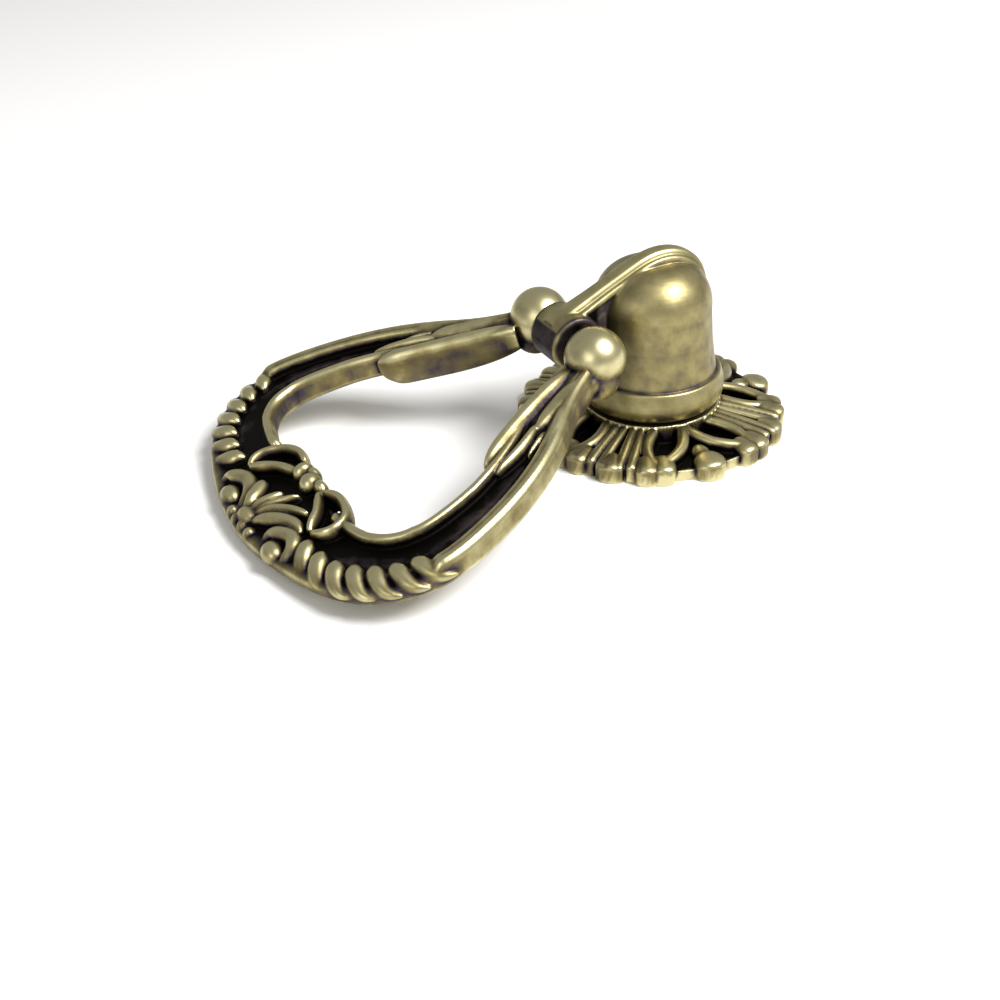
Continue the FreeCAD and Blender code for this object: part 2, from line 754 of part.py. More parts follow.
def banded_ball():
    """The ball about the pin's axis, turned from short chords of its round outline."""
    corners = []
    for number in range(BALL_CHORDS + 1):
        turn = math.pi * number / BALL_CHORDS
        corners.append(
            Vector(-size("ball_radius") * math.cos(turn), size("ball_radius") * math.sin(turn), 0)
        )
    outline = Part.Face(Part.makePolygon(corners + corners[:1]))
    return outline.revolve(Vector(), Vector(1, 0, 0), 360)


balls = []
for label, sign in (("right", ""), ("left", "-")):
    ball = shaped(f"ball_{label}", banded_ball())
    ball.setExpression("Placement.Base.x", sign + BALL_PLACE)
    balls.append(cut_from(f"bored_ball_{label}", ball, ball_cuts))
doc.recompute()
right_leaf = arm_leaf()
knob_place = Vector(0, -size("ring_reach") + 11.2, FLOOR + 0.6)
knob_width = size("finger_width")
beads = rope_beads()
fingers = palmette()
groups = {
    "balls": [ball.Shape for ball in balls],
    "arm leaves": [right_leaf, mirror_image(right_leaf)],
    "open leaves": [open_leaf(1), open_leaf(-1)],
    "palmette knob": [bead(EVEN_PROFILE, 2 * knob_width, 0.7 * knob_width, knob_place, 0)],
    "middle finger": fingers[:1],
    "other fingers": fingers[1:],
    "scrolls": scroll(1) + scroll(-1),
    "odd beads": beads[::4] + beads[1::4],
    "even beads": beads[2::4] + beads[3::4],
}
casting = ring_bar.Shape
for name, pieces in groups.items():
    grown = casting.fuse(pieces)
    if len(grown.Solids) != 1 or grown.Volume < casting.Volume:
        raise RuntimeError(f"the ring doesn't join with its {name}")
    casting = grown
pull_ring = shaped("pull_ring", casting)

# At rest the ring's far lower edge lies just off the drawer front, which sets its droop.

far_reach = size("ring_reach") - size("bar_bevel")
far_depth = -UNDERSIDE - size("bar_bevel")
fall = size("pivot_height") - size("bar_bevel") - size("rest_gap")
droop = math.degrees(
    math.asin(fall / math.hypot(far_reach, far_depth)) - math.atan2(far_depth, far_reach)
)
pull_ring.Placement = Placement(Vector(), Rotation(Vector(1, 0, 0), droop))
pull_ring.setExpression("Placement.Base.y", "-Sizes.pivot_reach")
pull_ring.setExpression("Placement.Base.z", "Sizes.pivot_height")
doc.recompute()

NODES = [backplate, post, pull_ring, hinge_pin]

for obj in doc.Objects:
    if "Invalid" in obj.State or "Error" in obj.State:
        raise RuntimeError(f"{obj.Name} failed: {obj.State}")
for node in NODES:
    if node.Shape.isNull() or not node.Shape.isValid():
        raise RuntimeError(f"{node.Label} has no valid shape")

os.makedirs("parts", exist_ok=True)
for node in NODES:
    node.Shape.exportStep(f"parts/{node.Label}.step")
    box = node.Shape.BoundBox
    print(
        f"{node.Label}: {len(node.Shape.Solids)} solid, {node.Shape.Volume:.1f} mm3, "
        f"x {box.XMin:.2f} to {box.XMax:.2f}, y {box.YMin:.2f} to {box.YMax:.2f}, "
        f"z {box.ZMin:.2f} to {box.ZMax:.2f}"
    )
print(f"droop {droop:.2f} degrees")
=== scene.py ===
"""Dresses the ring pull handle: an antique brass drop ring on a domed post and a rosette.

The CAD frame is loaded as it is, and finely modelled castings stand in for its three castings.
Shapes are worked out in millimetres in the CAD's frame and scaled to metres at the end.
"""

import json
import logging
import math
from dataclasses import dataclass, field
from enum import Enum

import bmesh
import bpy
import numpy as np
from mathutils import Matrix, Vector

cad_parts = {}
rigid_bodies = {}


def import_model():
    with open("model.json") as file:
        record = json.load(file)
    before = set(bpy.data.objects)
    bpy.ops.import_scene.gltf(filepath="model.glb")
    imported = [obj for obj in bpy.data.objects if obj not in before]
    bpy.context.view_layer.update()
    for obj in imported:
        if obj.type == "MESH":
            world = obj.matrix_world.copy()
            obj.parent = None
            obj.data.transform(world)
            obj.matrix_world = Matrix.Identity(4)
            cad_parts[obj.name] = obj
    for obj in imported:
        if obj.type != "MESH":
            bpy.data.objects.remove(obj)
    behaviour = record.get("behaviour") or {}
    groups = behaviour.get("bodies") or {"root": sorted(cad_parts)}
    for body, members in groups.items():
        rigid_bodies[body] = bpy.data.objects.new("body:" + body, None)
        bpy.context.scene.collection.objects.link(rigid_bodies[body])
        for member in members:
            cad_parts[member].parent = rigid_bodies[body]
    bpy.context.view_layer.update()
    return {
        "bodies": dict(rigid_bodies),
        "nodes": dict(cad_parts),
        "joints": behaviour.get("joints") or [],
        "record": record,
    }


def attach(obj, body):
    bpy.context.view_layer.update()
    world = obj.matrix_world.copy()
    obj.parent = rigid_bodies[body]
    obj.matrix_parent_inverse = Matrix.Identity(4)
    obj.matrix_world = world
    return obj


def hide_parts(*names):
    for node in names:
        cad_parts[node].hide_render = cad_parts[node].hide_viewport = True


log = logging.getLogger("ring_pull")

MM = 0.001
TRIANGLE_LIMIT = 190_000
PIVOT_REACH = 13.5
PIVOT_HEIGHT = 16.3

Point = tuple[float, float, float]
PathPoint = tuple[float, float, float, float, float]


class Body(Enum):
    """The moving groups of the CAD frame."""

    MOUNT = "mount_body"
    PULL = "pull"


class Slot(Enum):
    """The record's material slot that the castings take."""

    BRASS = "antique_brass"


def linear(hex_colour: str) -> tuple[float, float, float, float]:
    """Turn an sRGB colour into the linear values that a shader socket takes.

    Args:
        hex_colour: Six hex digits, such as "B5AA78".

    Returns:
        Linear red, green, blue and an alpha of 1.
    """
    channels = [int(hex_colour[i : i + 2], 16) / 255 for i in (0, 2, 4)]
    values = [c / 12.92 if c <= 0.04045 else ((c + 0.055) / 1.055) ** 2.4 for c in channels]
    return (values[0], values[1], values[2], 1.0)


def smoothstep(low: float, high: float, value: float) -> float:
    """Rise smoothly from 0 at low to 1 at high."""
    share = min(max((value - low) / (high - low), 0.0), 1.0)
    return share * share * (3 - 2 * share)


def ramp(values: np.ndarray, start: float, length: float) -> np.ndarray:
    """Rise evenly from 0 at start to 1 at start plus length."""
    return np.clip((values - start) / length, 0, 1)


def add_node(
    tree: bpy.types.NodeTree,
    kind: str,
    settings: dict[str, object] | None = None,
    inputs: dict[str | int, object] | None = None,
) -> bpy.types.Node:
    """Add a node with its settings, its fixed values and its links.

    Args:
        tree: The tree that gets the node.
        kind: The node's type in Blender.
        settings: The node's own properties, by name.
        inputs: An output socket to link from or a fixed value, by the input's name or number.

    Returns:
        The new node.
    """
    node = tree.nodes.new(kind)
    for key, value in (settings or {}).items():
        setattr(node, key, value)
    for key, value in (inputs or {}).items():
        if isinstance(value, bpy.types.NodeSocket):
            tree.links.new(value, node.inputs[key])
        else:
            node.inputs[key].default_value = value
    return node


class SmoothLine:
    """A smooth curve through points, by natural cubic splines over the distance along them."""

    SHORTEST_STEP = 1e-6

    def __init__(self, points: list[tuple[float, ...]]) -> None:
        """Fit the curve.

        Args:
            points: Two or more points with any number of values each.
        """
        self.points = np.array(points, dtype=float)
        steps = np.linalg.norm(np.diff(self.points[:, :2], axis=0), axis=1)
        self.marks = np.concatenate(([0.0], np.cumsum(np.maximum(steps, self.SHORTEST_STEP))))
        count = len(points)
        matrix = np.eye(count)
        right = np.zeros_like(self.points)
        for i in range(1, count - 1):
            before = self.marks[i] - self.marks[i - 1]
            after = self.marks[i + 1] - self.marks[i]
            matrix[i, i - 1 : i + 2] = before, 2 * (before + after), after
            right[i] = 6 * (
                (self.points[i + 1] - self.points[i]) / after
                - (self.points[i] - self.points[i - 1]) / before
            )
        self.bends = np.linalg.solve(matrix, right)

    def at_mark(self, mark: float) -> np.ndarray:
        """Work out the point at a distance along the control points.

        Args:
            mark: The distance from the first control point.

        Returns:
            All values of the point there.
        """
        i = int(np.clip(np.searchsorted(self.marks, mark) - 1, 0, len(self.marks) - 2))
        span = self.marks[i + 1] - self.marks[i]
        b = (mark - self.marks[i]) / span
        a = 1 - b
        bend = ((a**3 - a) * self.bends[i] + (b**3 - b) * self.bends[i + 1]) * span**2 / 6
        return a * self.points[i] + b * self.points[i + 1] + bend

    def at_place(self, place: float) -> np.ndarray:
        """Work out the point at a place, where whole numbers are the control points.

        Args:
            place: The place, from 0 to the number of control points less one.

        Returns:
            All values of the point there.
        """
        first = min(int(place), len(self.marks) - 2)
        share = place - first
        return self.at_mark(self.marks[first] * (1 - share) + self.marks[first + 1] * share)

    def samples(self, count: int) -> np.ndarray:
        """Give evenly spread points from end to end."""
        return np.array([self.at_mark(m) for m in np.linspace(0, self.marks[-1], count)])


def face_outwards(mesh: bpy.types.Mesh) -> bpy.types.Mesh:
    """Turn the faces of a closed mesh outwards.

    Args:
        mesh: The mesh, which is changed.

    Returns:
        The same mesh.
    """
    tidy = bmesh.new()
    tidy.from_mesh(mesh)
    bmesh.ops.recalc_face_normals(tidy, faces=tidy.faces)
    tidy.to_mesh(mesh)
    tidy.free()
    return mesh


def joined(meshes: list[bpy.types.Mesh], name: str) -> bpy.types.Mesh:
    """Put several meshes together in one.

    Args:
        meshes: The meshes, which may overlap.
        name: The new mesh's name.

    Returns:
        A new mesh with all their faces.
    """
    whole = bmesh.new()
    for mesh in meshes:
        whole.from_mesh(mesh)
    result = bpy.data.meshes.new(name)
    whole.to_mesh(result)
    whole.free()
    return result


def grid_mesh(rows: np.ndarray, name: str) -> bpy.types.Mesh:
    """Join rings of points into a closed skin with a fan at each end.

    Args:
        rows: Points of shape (rings, points in a ring, 3), in millimetres.
        name: The mesh's name.

    Returns:
        The closed mesh.
    """
    rings, around, _ = rows.shape
    vertices = [tuple(p) for p in rows.reshape(-1, 3)]
    faces = []
    for r in range(rings - 1):
        for a in range(around):
            b = (a + 1) % around
            low, high = r * around, (r + 1) * around
            faces.append((low + a, low + b, high + b, high + a))
    for row in (0, rings - 1):
        hub = len(vertices)
        vertices.append(tuple(rows[row].mean(axis=0)))
        for a in range(around):
            b = (a + 1) % around
            ends = (row * around + b, row * around + a)
            faces.append((hub, *(ends if row == 0 else ends[::-1])))
    mesh = bpy.data.meshes.new(name)
    mesh.from_pydata(vertices, [], faces)
    mesh.validate()
    return face_outwards(mesh)


def hoop_mesh(rings: list[list[Point]], name: str) -> bpy.types.Mesh:
    """Join rings of points into a closed hoop, whose last ring meets the first.

    Args:
        rings: The rings, each with as many points, in millimetres.
        name: The mesh's name.

    Returns:
        The closed mesh.
    """
    around = len(rings[0])
    faces = []
    for r in range(len(rings)):
        low, high = r * around, (r + 1) % len(rings) * around
        for a in range(around):
            b = (a + 1) % around
            faces.append((low + a, low + b, high + b, high + a))
    mesh = bpy.data.meshes.new(name)
    mesh.from_pydata([point for ring in rings for point in ring], [], faces)
    return mesh


@dataclass
class Stroke:
    """A rounded ridge or bead along a smooth path, as a carver's stroke would leave it.

    Each path point is across, along, height of its crest, half width there, and half height.
    A higher blunt makes the ends squarer. With a foot, the stroke's sides go straight down to
    that height.
    """

    path: list[PathPoint]
    blunt: float = 5.0
    foot: float | None = None
    around: int = 20
    ring_spacing: float = 0.22
    fewest_rings: int = 14
    end_crowding: float = 1.6
    thinnest_end: float = 0.02
    thinnest_half: float = 0.05

    def rows(self) -> np.ndarray:
        """Work out the stroke's rings of points.

        Returns:
            Points of shape (rings, points in a ring, 3).
        """
        line = SmoothLine(self.path)
        count = max(self.fewest_rings, int(line.marks[-1] / self.ring_spacing))
        steps = np.linspace(-1, 1, count)
        steps = np.sign(steps) * (1 - (1 - np.abs(steps)) ** self.end_crowding)
        marks = (steps + 1) / 2 * line.marks[-1]
        spots = np.array([line.at_mark(m) for m in marks])
        ways = np.gradient(spots[:, :3], axis=0)
        ways /= np.linalg.norm(ways, axis=1, keepdims=True)
        sides = np.stack([ways[:, 1], -ways[:, 0], np.zeros(count)], axis=1)
        sides /= np.linalg.norm(sides, axis=1, keepdims=True)
        ups = np.cross(sides, ways)
        ends = (1 - np.abs(steps) ** self.blunt) ** (1 / self.blunt)
        ends = np.maximum(ends, self.thinnest_end)
        turns = np.arange(self.around) / self.around * math.tau
        rings = []
        for spot, side, up, end in zip(spots, sides, ups, ends):
            half_width, half_height = np.maximum(spot[3:5], self.thinnest_half) * end
            middle = spot[:3] - up * spot[4]
            across = np.cos(turns)[:, None] * side * half_width
            ring = middle + across + np.sin(turns)[:, None] * up * half_height
            if self.foot is not None:
                ring[np.sin(turns) < 0, 2] = self.foot
            rings.append(ring)
        return np.array(rings)


@dataclass(frozen=True)
class RingPlane:
    """The ring's own plane: across is X, along runs from the pin to the far edge, up is proud."""

    pivot_reach: float = PIVOT_REACH
    pivot_height: float = PIVOT_HEIGHT
    droop: float = math.radians(15.75)

    def place(self, points: np.ndarray) -> np.ndarray:
        """Move points from the ring's plane into the part's frame.

        Args:
            points: Across, along and up in the last axis.

        Returns:
            X, Y and Z in the last axis.
        """
        across, along, up = points[..., 0], points[..., 1], points[..., 2]
        cos, sin = math.cos(self.droop), math.sin(self.droop)
        y = -self.pivot_reach - along * cos - up * sin
        z = self.pivot_height - along * sin + up * cos
        return np.stack([across, y, z], axis=-1)


class Foundry:
    """Joins overlapping closed meshes into one soft-edged casting."""

    def __init__(self, name: str, voxel: float, softening: int) -> None:
        """Set up an empty mould.

        Args:
            name: The casting's name.
            voxel: Size of the finest detail kept, in millimetres.
            softening: How many rounds of smoothing the surface gets.
        """
        self.name = name
        self.voxel = voxel * 1.0
        self.softening = softening
        self.meshes: list[bpy.types.Mesh] = []

    def add(self, mesh: bpy.types.Mesh) -> None:
        """Put a closed mesh into the mould."""
        self.meshes.append(mesh)

    def cast(self) -> bpy.types.Mesh:
        """Fuse everything in the mould.

        Returns:
            One smooth closed mesh in millimetres, under the triangle limit.
        """
        mould = self.name + "_mould"
        obj = bpy.data.objects.new(mould, joined(self.meshes, mould))
        bpy.context.scene.collection.objects.link(obj)
        remesh = obj.modifiers.new("fuse", "REMESH")
        remesh.mode = "VOXEL"
        remesh.voxel_size = self.voxel
        remesh.adaptivity = 0.0
        soften = obj.modifiers.new("soften", "SMOOTH")
        soften.factor = 0.5
        soften.iterations = self.softening
        fused = self.evaluated(obj)
        triangles = 2 * len(fused.polygons)
        if triangles > TRIANGLE_LIMIT:
            thin = obj.modifiers.new("thin", "DECIMATE")
            thin.ratio = TRIANGLE_LIMIT / triangles
            fused = self.evaluated(obj)
        bpy.data.objects.remove(obj)
        fused.name = self.name
        fused.polygons.foreach_set("use_smooth", [True] * len(fused.polygons))
        log.info("%s: %d faces after fusing", self.name, len(fused.polygons))
        return fused

    @staticmethod
    def evaluated(obj: bpy.types.Object) -> bpy.types.Mesh:
        """Apply an object's modifiers.

        Args:
            obj: The object, which keeps its modifiers.

        Returns:
            A new plain mesh.
        """
        graph = bpy.context.evaluated_depsgraph_get()
        graph.update()
        return bpy.data.meshes.new_from_object(obj.evaluated_get(graph))


def store(mesh: bpy.types.Mesh, name: str, values: np.ndarray) -> None:
    """Store one number per vertex under a name that materials read."""
    layer = mesh.attributes.new(name, "FLOAT", "POINT")
    layer.data.foreach_set("value", values.astype(np.float32))


class Surface:
    """Reads a mesh's relief from each vertex and its neighbours."""

    OWN_SHARE, NEIGHBOUR_SHARE = 0.4, 0.6
    GRAIN_ROUNDS, RIDGE_ROUNDS, SWELL_ROUNDS = 4, 16, 70
    BLEND_ROUNDS = 6
    DARKEST, BRIGHTEST = -0.2, 1.2

    def __init__(self, mesh: bpy.types.Mesh) -> None:
        """Gather the mesh's points, normals and neighbours.

        Args:
            mesh: The mesh to read.
        """
        spots = np.empty(3 * len(mesh.vertices), dtype=np.float32)
        mesh.vertices.foreach_get("co", spots)
        self.spots = spots.reshape(-1, 3).astype(float)
        normals = np.empty_like(spots)
        mesh.vertex_normals.foreach_get("vector", normals)
        self.normals = normals.reshape(-1, 3)
        ends = np.empty(2 * len(mesh.edges), dtype=np.int64)
        mesh.edges.foreach_get("vertices", ends)
        ends = ends.reshape(-1, 2)
        both = np.concatenate([ends, ends[:, ::-1]])
        self.here, self.there = both[:, 0], both[:, 1]
        self.degree = np.maximum(np.bincount(self.here, minlength=len(self.spots)), 1)

    def calmed(self, values: np.ndarray, rounds: int) -> np.ndarray:
        """Average values with their neighbours' in rounds.

        Args:
            values: Numbers of shape (vertices, columns).
            rounds: How often each vertex takes up its neighbours' values.

        Returns:
            The calmed numbers, in the same shape.
        """
        for _ in range(rounds):
            sums = [
                np.bincount(self.here, weights=column[self.there], minlength=len(values))
                for column in values.T
            ]
            taken_up = self.NEIGHBOUR_SHARE * np.stack(sums, axis=1) / self.degree[:, None]
            values = self.OWN_SHARE * values + taken_up
        return values

    def hollowness(self, near: int, far: int) -> np.ndarray:
        """Measure how far each vertex lies below its surroundings.

        Args:
            near: Rounds of smoothing that stand for the surface without its grain.
            far: Rounds of smoothing that stand for the surroundings.

        Returns:
            Positive numbers in hollows and negative ones on edges, in millimetres.
        """
        fine = self.calmed(self.spots, near)
        broad = self.calmed(fine, far - near)
        return np.einsum("ij,ij->i", broad - fine, self.normals)

    def wear(self, plain: np.ndarray, edge: float, bowl: float) -> np.ndarray:
        """Grade the tone from 0, patina and painted shade, to 1, rubbed bright metal and painted
        light.

        Args:
            plain: The tone that each vertex would have on a plain surface, its wear together with
                any painted shade and light.
            edge: How much narrow ridges and grooves change it.
            bowl: How much broad swells and hollows change it.

        Returns:
            One number for each vertex.
        """
        total = plain - edge * self.hollowness(self.GRAIN_ROUNDS, self.RIDGE_ROUNDS)
        total = total - bowl * self.hollowness(self.RIDGE_ROUNDS, self.SWELL_ROUNDS)
        total = np.clip(total, self.DARKEST, self.BRIGHTEST)
        return np.clip(self.calmed(total[:, None], self.BLEND_ROUNDS)[:, 0], 0, 1)


class Patterner:
    """Repeats a mesh with a Geometry Nodes tree and gives back plain mesh.

    The trees' input Finish stays empty, because a casting gets its finish after it is fused.
    """

    @staticmethod
    def begun(name: str, inputs: dict[str, str]) -> tuple[bpy.types.NodeTree, dict[str, str]]:
        """Start a tree with its named inputs and its output.

        Args:
            name: The tree's name.
            inputs: The kind of each input, such as Int, by the input's name.

        Returns:
            The tree, and each input's identifier by its name.
        """
        tree = bpy.data.node_groups.new(name, "GeometryNodeTree")
        face = tree.interface
        identifiers = {}
        for label, kind in (inputs | {"Finish": "Material"}).items():
            socket = face.new_socket(label, in_out="INPUT", socket_type="NodeSocket" + kind)
            identifiers[label] = socket.identifier
        face.new_socket("Pattern", in_out="OUTPUT", socket_type="NodeSocketGeometry")
        return tree, identifiers

    @staticmethod
    def made(
        instances: bpy.types.Node,
        start: bpy.types.Node,
        carrier: bpy.types.Mesh,
        inputs: dict[str, object],
    ) -> bpy.types.Mesh:
        """End a tree after its instances, run it and give the plain result.

        Args:
            instances: The node that lays out the instances.
            start: The tree's input node.
            carrier: The mesh that the tree starts from.
            inputs: The modifier's values, by the inputs' identifiers.

        Returns:
            The pattern, as plain mesh.
        """
        tree = instances.id_data
        solid = {"Geometry": instances.outputs["Instances"]}
        real = add_node(tree, "GeometryNodeRealizeInstances", inputs=solid)
        dressed = {"Geometry": real.outputs["Geometry"], "Material": start.outputs["Finish"]}
        painted = add_node(tree, "GeometryNodeSetMaterial", inputs=dressed)
        add_node(tree, "NodeGroupOutput", inputs={"Pattern": painted.outputs["Geometry"]})
        obj = bpy.data.objects.new(tree.name + "_carrier", carrier)
        bpy.context.scene.collection.objects.link(obj)
        modifier = obj.modifiers.new("pattern", "NODES")
        modifier.node_group = tree
        for identifier, value in inputs.items():
            modifier[identifier] = value
        pattern = Foundry.evaluated(obj)
        bpy.data.objects.remove(obj)
        return pattern

    @staticmethod
    def round_the_post(source: bpy.types.Mesh, count: int) -> bpy.types.Mesh:
        """Repeat a sector about the post's axis.

        Args:
            source: One sector's mesh.
            count: How many sectors make the whole.

        Returns:
            The joined sectors.
        """
        kinds = {"Sector": "Geometry", "Sector Count": "Int", "Sector Angle": "Float"}
        tree, identifiers = Patterner.begun("sectors_round_axis", kinds)
        start = add_node(tree, "NodeGroupInput")
        amount = {"Count": start.outputs["Sector Count"]}
        points = add_node(tree, "GeometryNodePoints", inputs=amount)
        index = add_node(tree, "GeometryNodeInputIndex")
        factors = {0: index.outputs["Index"], 1: start.outputs["Sector Angle"]}
        turn = add_node(tree, "ShaderNodeMath", {"operation": "MULTIPLY"}, factors)
        spin = add_node(tree, "ShaderNodeCombineXYZ", inputs={"Z": turn.outputs[0]})
        instances = add_node(
            tree,
            "GeometryNodeInstanceOnPoints",
            inputs={
                "Points": points.outputs["Points"],
                "Instance": start.outputs["Sector"],
                "Rotation": spin.outputs["Vector"],
            },
        )
        values = {
            identifiers["Sector Count"]: count,
            identifiers["Sector Angle"]: math.tau / count,
        }
        return Patterner.made(instances, start, source, values)

    @staticmethod
    def along_points(
        source: bpy.types.Mesh, spots: np.ndarray, turns: np.ndarray, sizes: np.ndarray
    ) -> bpy.types.Mesh:
        """Repeat a bead at points, each with its own turn and size.

        Args:
            source: The bead's mesh, its middle at the origin.
            spots: Where the beads go, in millimetres.
            turns: Euler angles of the beads, in radians.
            sizes: Scale of the beads.

        Returns:
            The joined beads.
        """
        carrier = bpy.data.meshes.new("bead_places")
        carrier.from_pydata([tuple(p) for p in spots], [], [])
        bead = bpy.data.objects.new("rope_bead_source", source)
        kinds = {"Places": "Geometry", "Bead": "Object"}
        tree, identifiers = Patterner.begun("beads_on_points", kinds)
        start = add_node(tree, "NodeGroupInput")
        chosen = {"Object": start.outputs["Bead"]}
        info = add_node(tree, "GeometryNodeObjectInfo", inputs=chosen)
        laid = {"Points": start.outputs["Places"], "Instance": info.outputs["Geometry"]}
        for name, socket, values in (
            ("bead_turn", "Rotation", turns),
            ("bead_size", "Scale", sizes),
        ):
            layer = carrier.attributes.new(name, "FLOAT_VECTOR", "POINT")
            layer.data.foreach_set("vector", values.astype(np.float32).ravel())
            kind = {"data_type": "FLOAT_VECTOR"}
            read = add_node(tree, "GeometryNodeInputNamedAttribute", kind, {"Name": name})
            laid[socket] = read.outputs["Attribute"]
        instances = add_node(tree, "GeometryNodeInstanceOnPoints", inputs=laid)
        rope = Patterner.made(instances, start, carrier, {identifiers["Bead"]: bead})
        bpy.data.objects.remove(bead)
        return rope


@dataclass(frozen=True)
class AntiqueBrass:
    """Antique brass plate on a die casting, darkened in a bath and rubbed back by hand."""

    # The bath leaves near-black patina in the hollows, and the rubbing leaves pale, glossier
    # metal on the ridges, so the relief reads from afar. Soft mottling breaks up the plain
    # parts, and a fine cast grain takes the mirror off the metal.
    name: str
    rubbed: str = "C6BE92"
    plain: str = "7C7149"
    shade: str = "494145"
    patina: str = "110E0C"
    rubbed_roughness: float = 0.3
    patina_roughness: float = 0.55
    mottle_size_mm: float = 2.2
    mottle_depth: float = 0.1
    grain_size_mm: float = 0.25
    grain_height_mm: float = 0.02
    grain_strength: float = 0.12

    def build(self) -> bpy.types.Material:
        """Make the material, which reads the stored tone attribute from 0, patina and painted
        shade, to 1, rubbed metal and painted light.

        Returns:
            The material.
        """
        material = bpy.data.materials.new(self.name)
        material.use_nodes = True
        tree = material.node_tree
        shader = tree.nodes["Principled BSDF"]
        shader.inputs["Metallic"].default_value = 1.0
        # The stored tone holds patina and rubbed wear, and on the ring and the post painted shade
        # and painted light as well.
        wear = add_node(tree, "ShaderNodeAttribute", {"attribute_name": "wear"})
        spots = add_node(tree, "ShaderNodeTexCoord").outputs["Object"]
        noises = []
        for size_mm, detail in ((self.mottle_size_mm, 5.0), (self.grain_size_mm, 2.0)):
            look = {"Vector": spots, "Scale": 1 / (size_mm * MM), "Detail": detail}
            noises.append(add_node(tree, "ShaderNodeTexNoise", inputs=look).outputs["Fac"])
        mottle, grain = noises
        stain = add_node(
            tree,
            "ShaderNodeMapRange",
            inputs={
                "Value": mottle,
                "From Min": 0.3,
                "From Max": 0.7,
                "To Min": -self.mottle_depth,
                "To Max": self.mottle_depth,
            },
        )
        total = add_node(
            tree,
            "ShaderNodeMath",
            {"operation": "ADD", "use_clamp": True},
            {0: wear.outputs["Fac"], 1: stain.outputs["Result"]},
        ).outputs[0]
        colour = add_node(tree, "ShaderNodeValToRGB", inputs={"Fac": total})
        tones = colour.color_ramp.elements
        tones[0].position, tones[0].color = 0.1, linear(self.patina)
        tones[1].position, tones[1].color = 0.88, linear(self.rubbed)
        for place, tone in ((0.28, self.shade), (0.52, self.plain)):
            tones.new(place).color = linear(tone)
        gloss = add_node(
            tree,
            "ShaderNodeMapRange",
            inputs={
                "Value": total,
                "To Min": self.patina_roughness,
                "To Max": self.rubbed_roughness,
            },
        )
        bump = add_node(
            tree,
            "ShaderNodeBump",
            inputs={
                "Strength": self.grain_strength,
                "Distance": self.grain_height_mm * MM,
                "Height": grain,
            },
        )
        for socket, source in (
            ("Base Color", colour.outputs["Color"]),
            ("Roughness", gloss.outputs["Result"]),
            ("Normal", bump.outputs["Normal"]),
        ):
            tree.links.new(source, shader.inputs[socket])
        return material


@dataclass(frozen=True)
class PlatedSteel:
    """Drawn steel rod with a thin brass plate."""

    # The drawing leaves an even, half-soft gleam, and the plate warms the steel's grey.
    name: str = "plated_steel"
    colour: str = "9A936F"
    roughness: float = 0.35

    def build(self) -> bpy.types.Material:
        """Make the material.

        Returns:
            The material.
        """
        material = bpy.data.materials.new(self.name)
        material.use_nodes = True
        shader = material.node_tree.nodes["Principled BSDF"]
        shader.inputs["Metallic"].default_value = 1.0
        shader.inputs["Base Color"].default_value = linear(self.colour)
        shader.inputs["Roughness"].default_value = self.roughness
        return material


def finished(
    mesh: bpy.types.Mesh, material: bpy.types.Material, body: Body, node: str
) -> bpy.types.Object:
    """Turn a casting in millimetres into a piece of the part that stands for a CAD node.

    Args:
        mesh: The casting.
        material: Its finish.
        body: What it moves with.
        node: The CAD node that it replaces.

    Returns:
        The piece, at the origin and unscaled.
    """
    mesh.transform(Matrix.Scale(MM, 4))
    mesh.materials.clear()
    mesh.materials.append(material)
    piece = bpy.data.objects.new(node + "_casting", mesh)
    bpy.context.scene.collection.objects.link(piece)
    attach(piece, body.value)
    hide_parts(node)
    log.info("%s: %d faces", piece.name, len(mesh.polygons))
    return piece


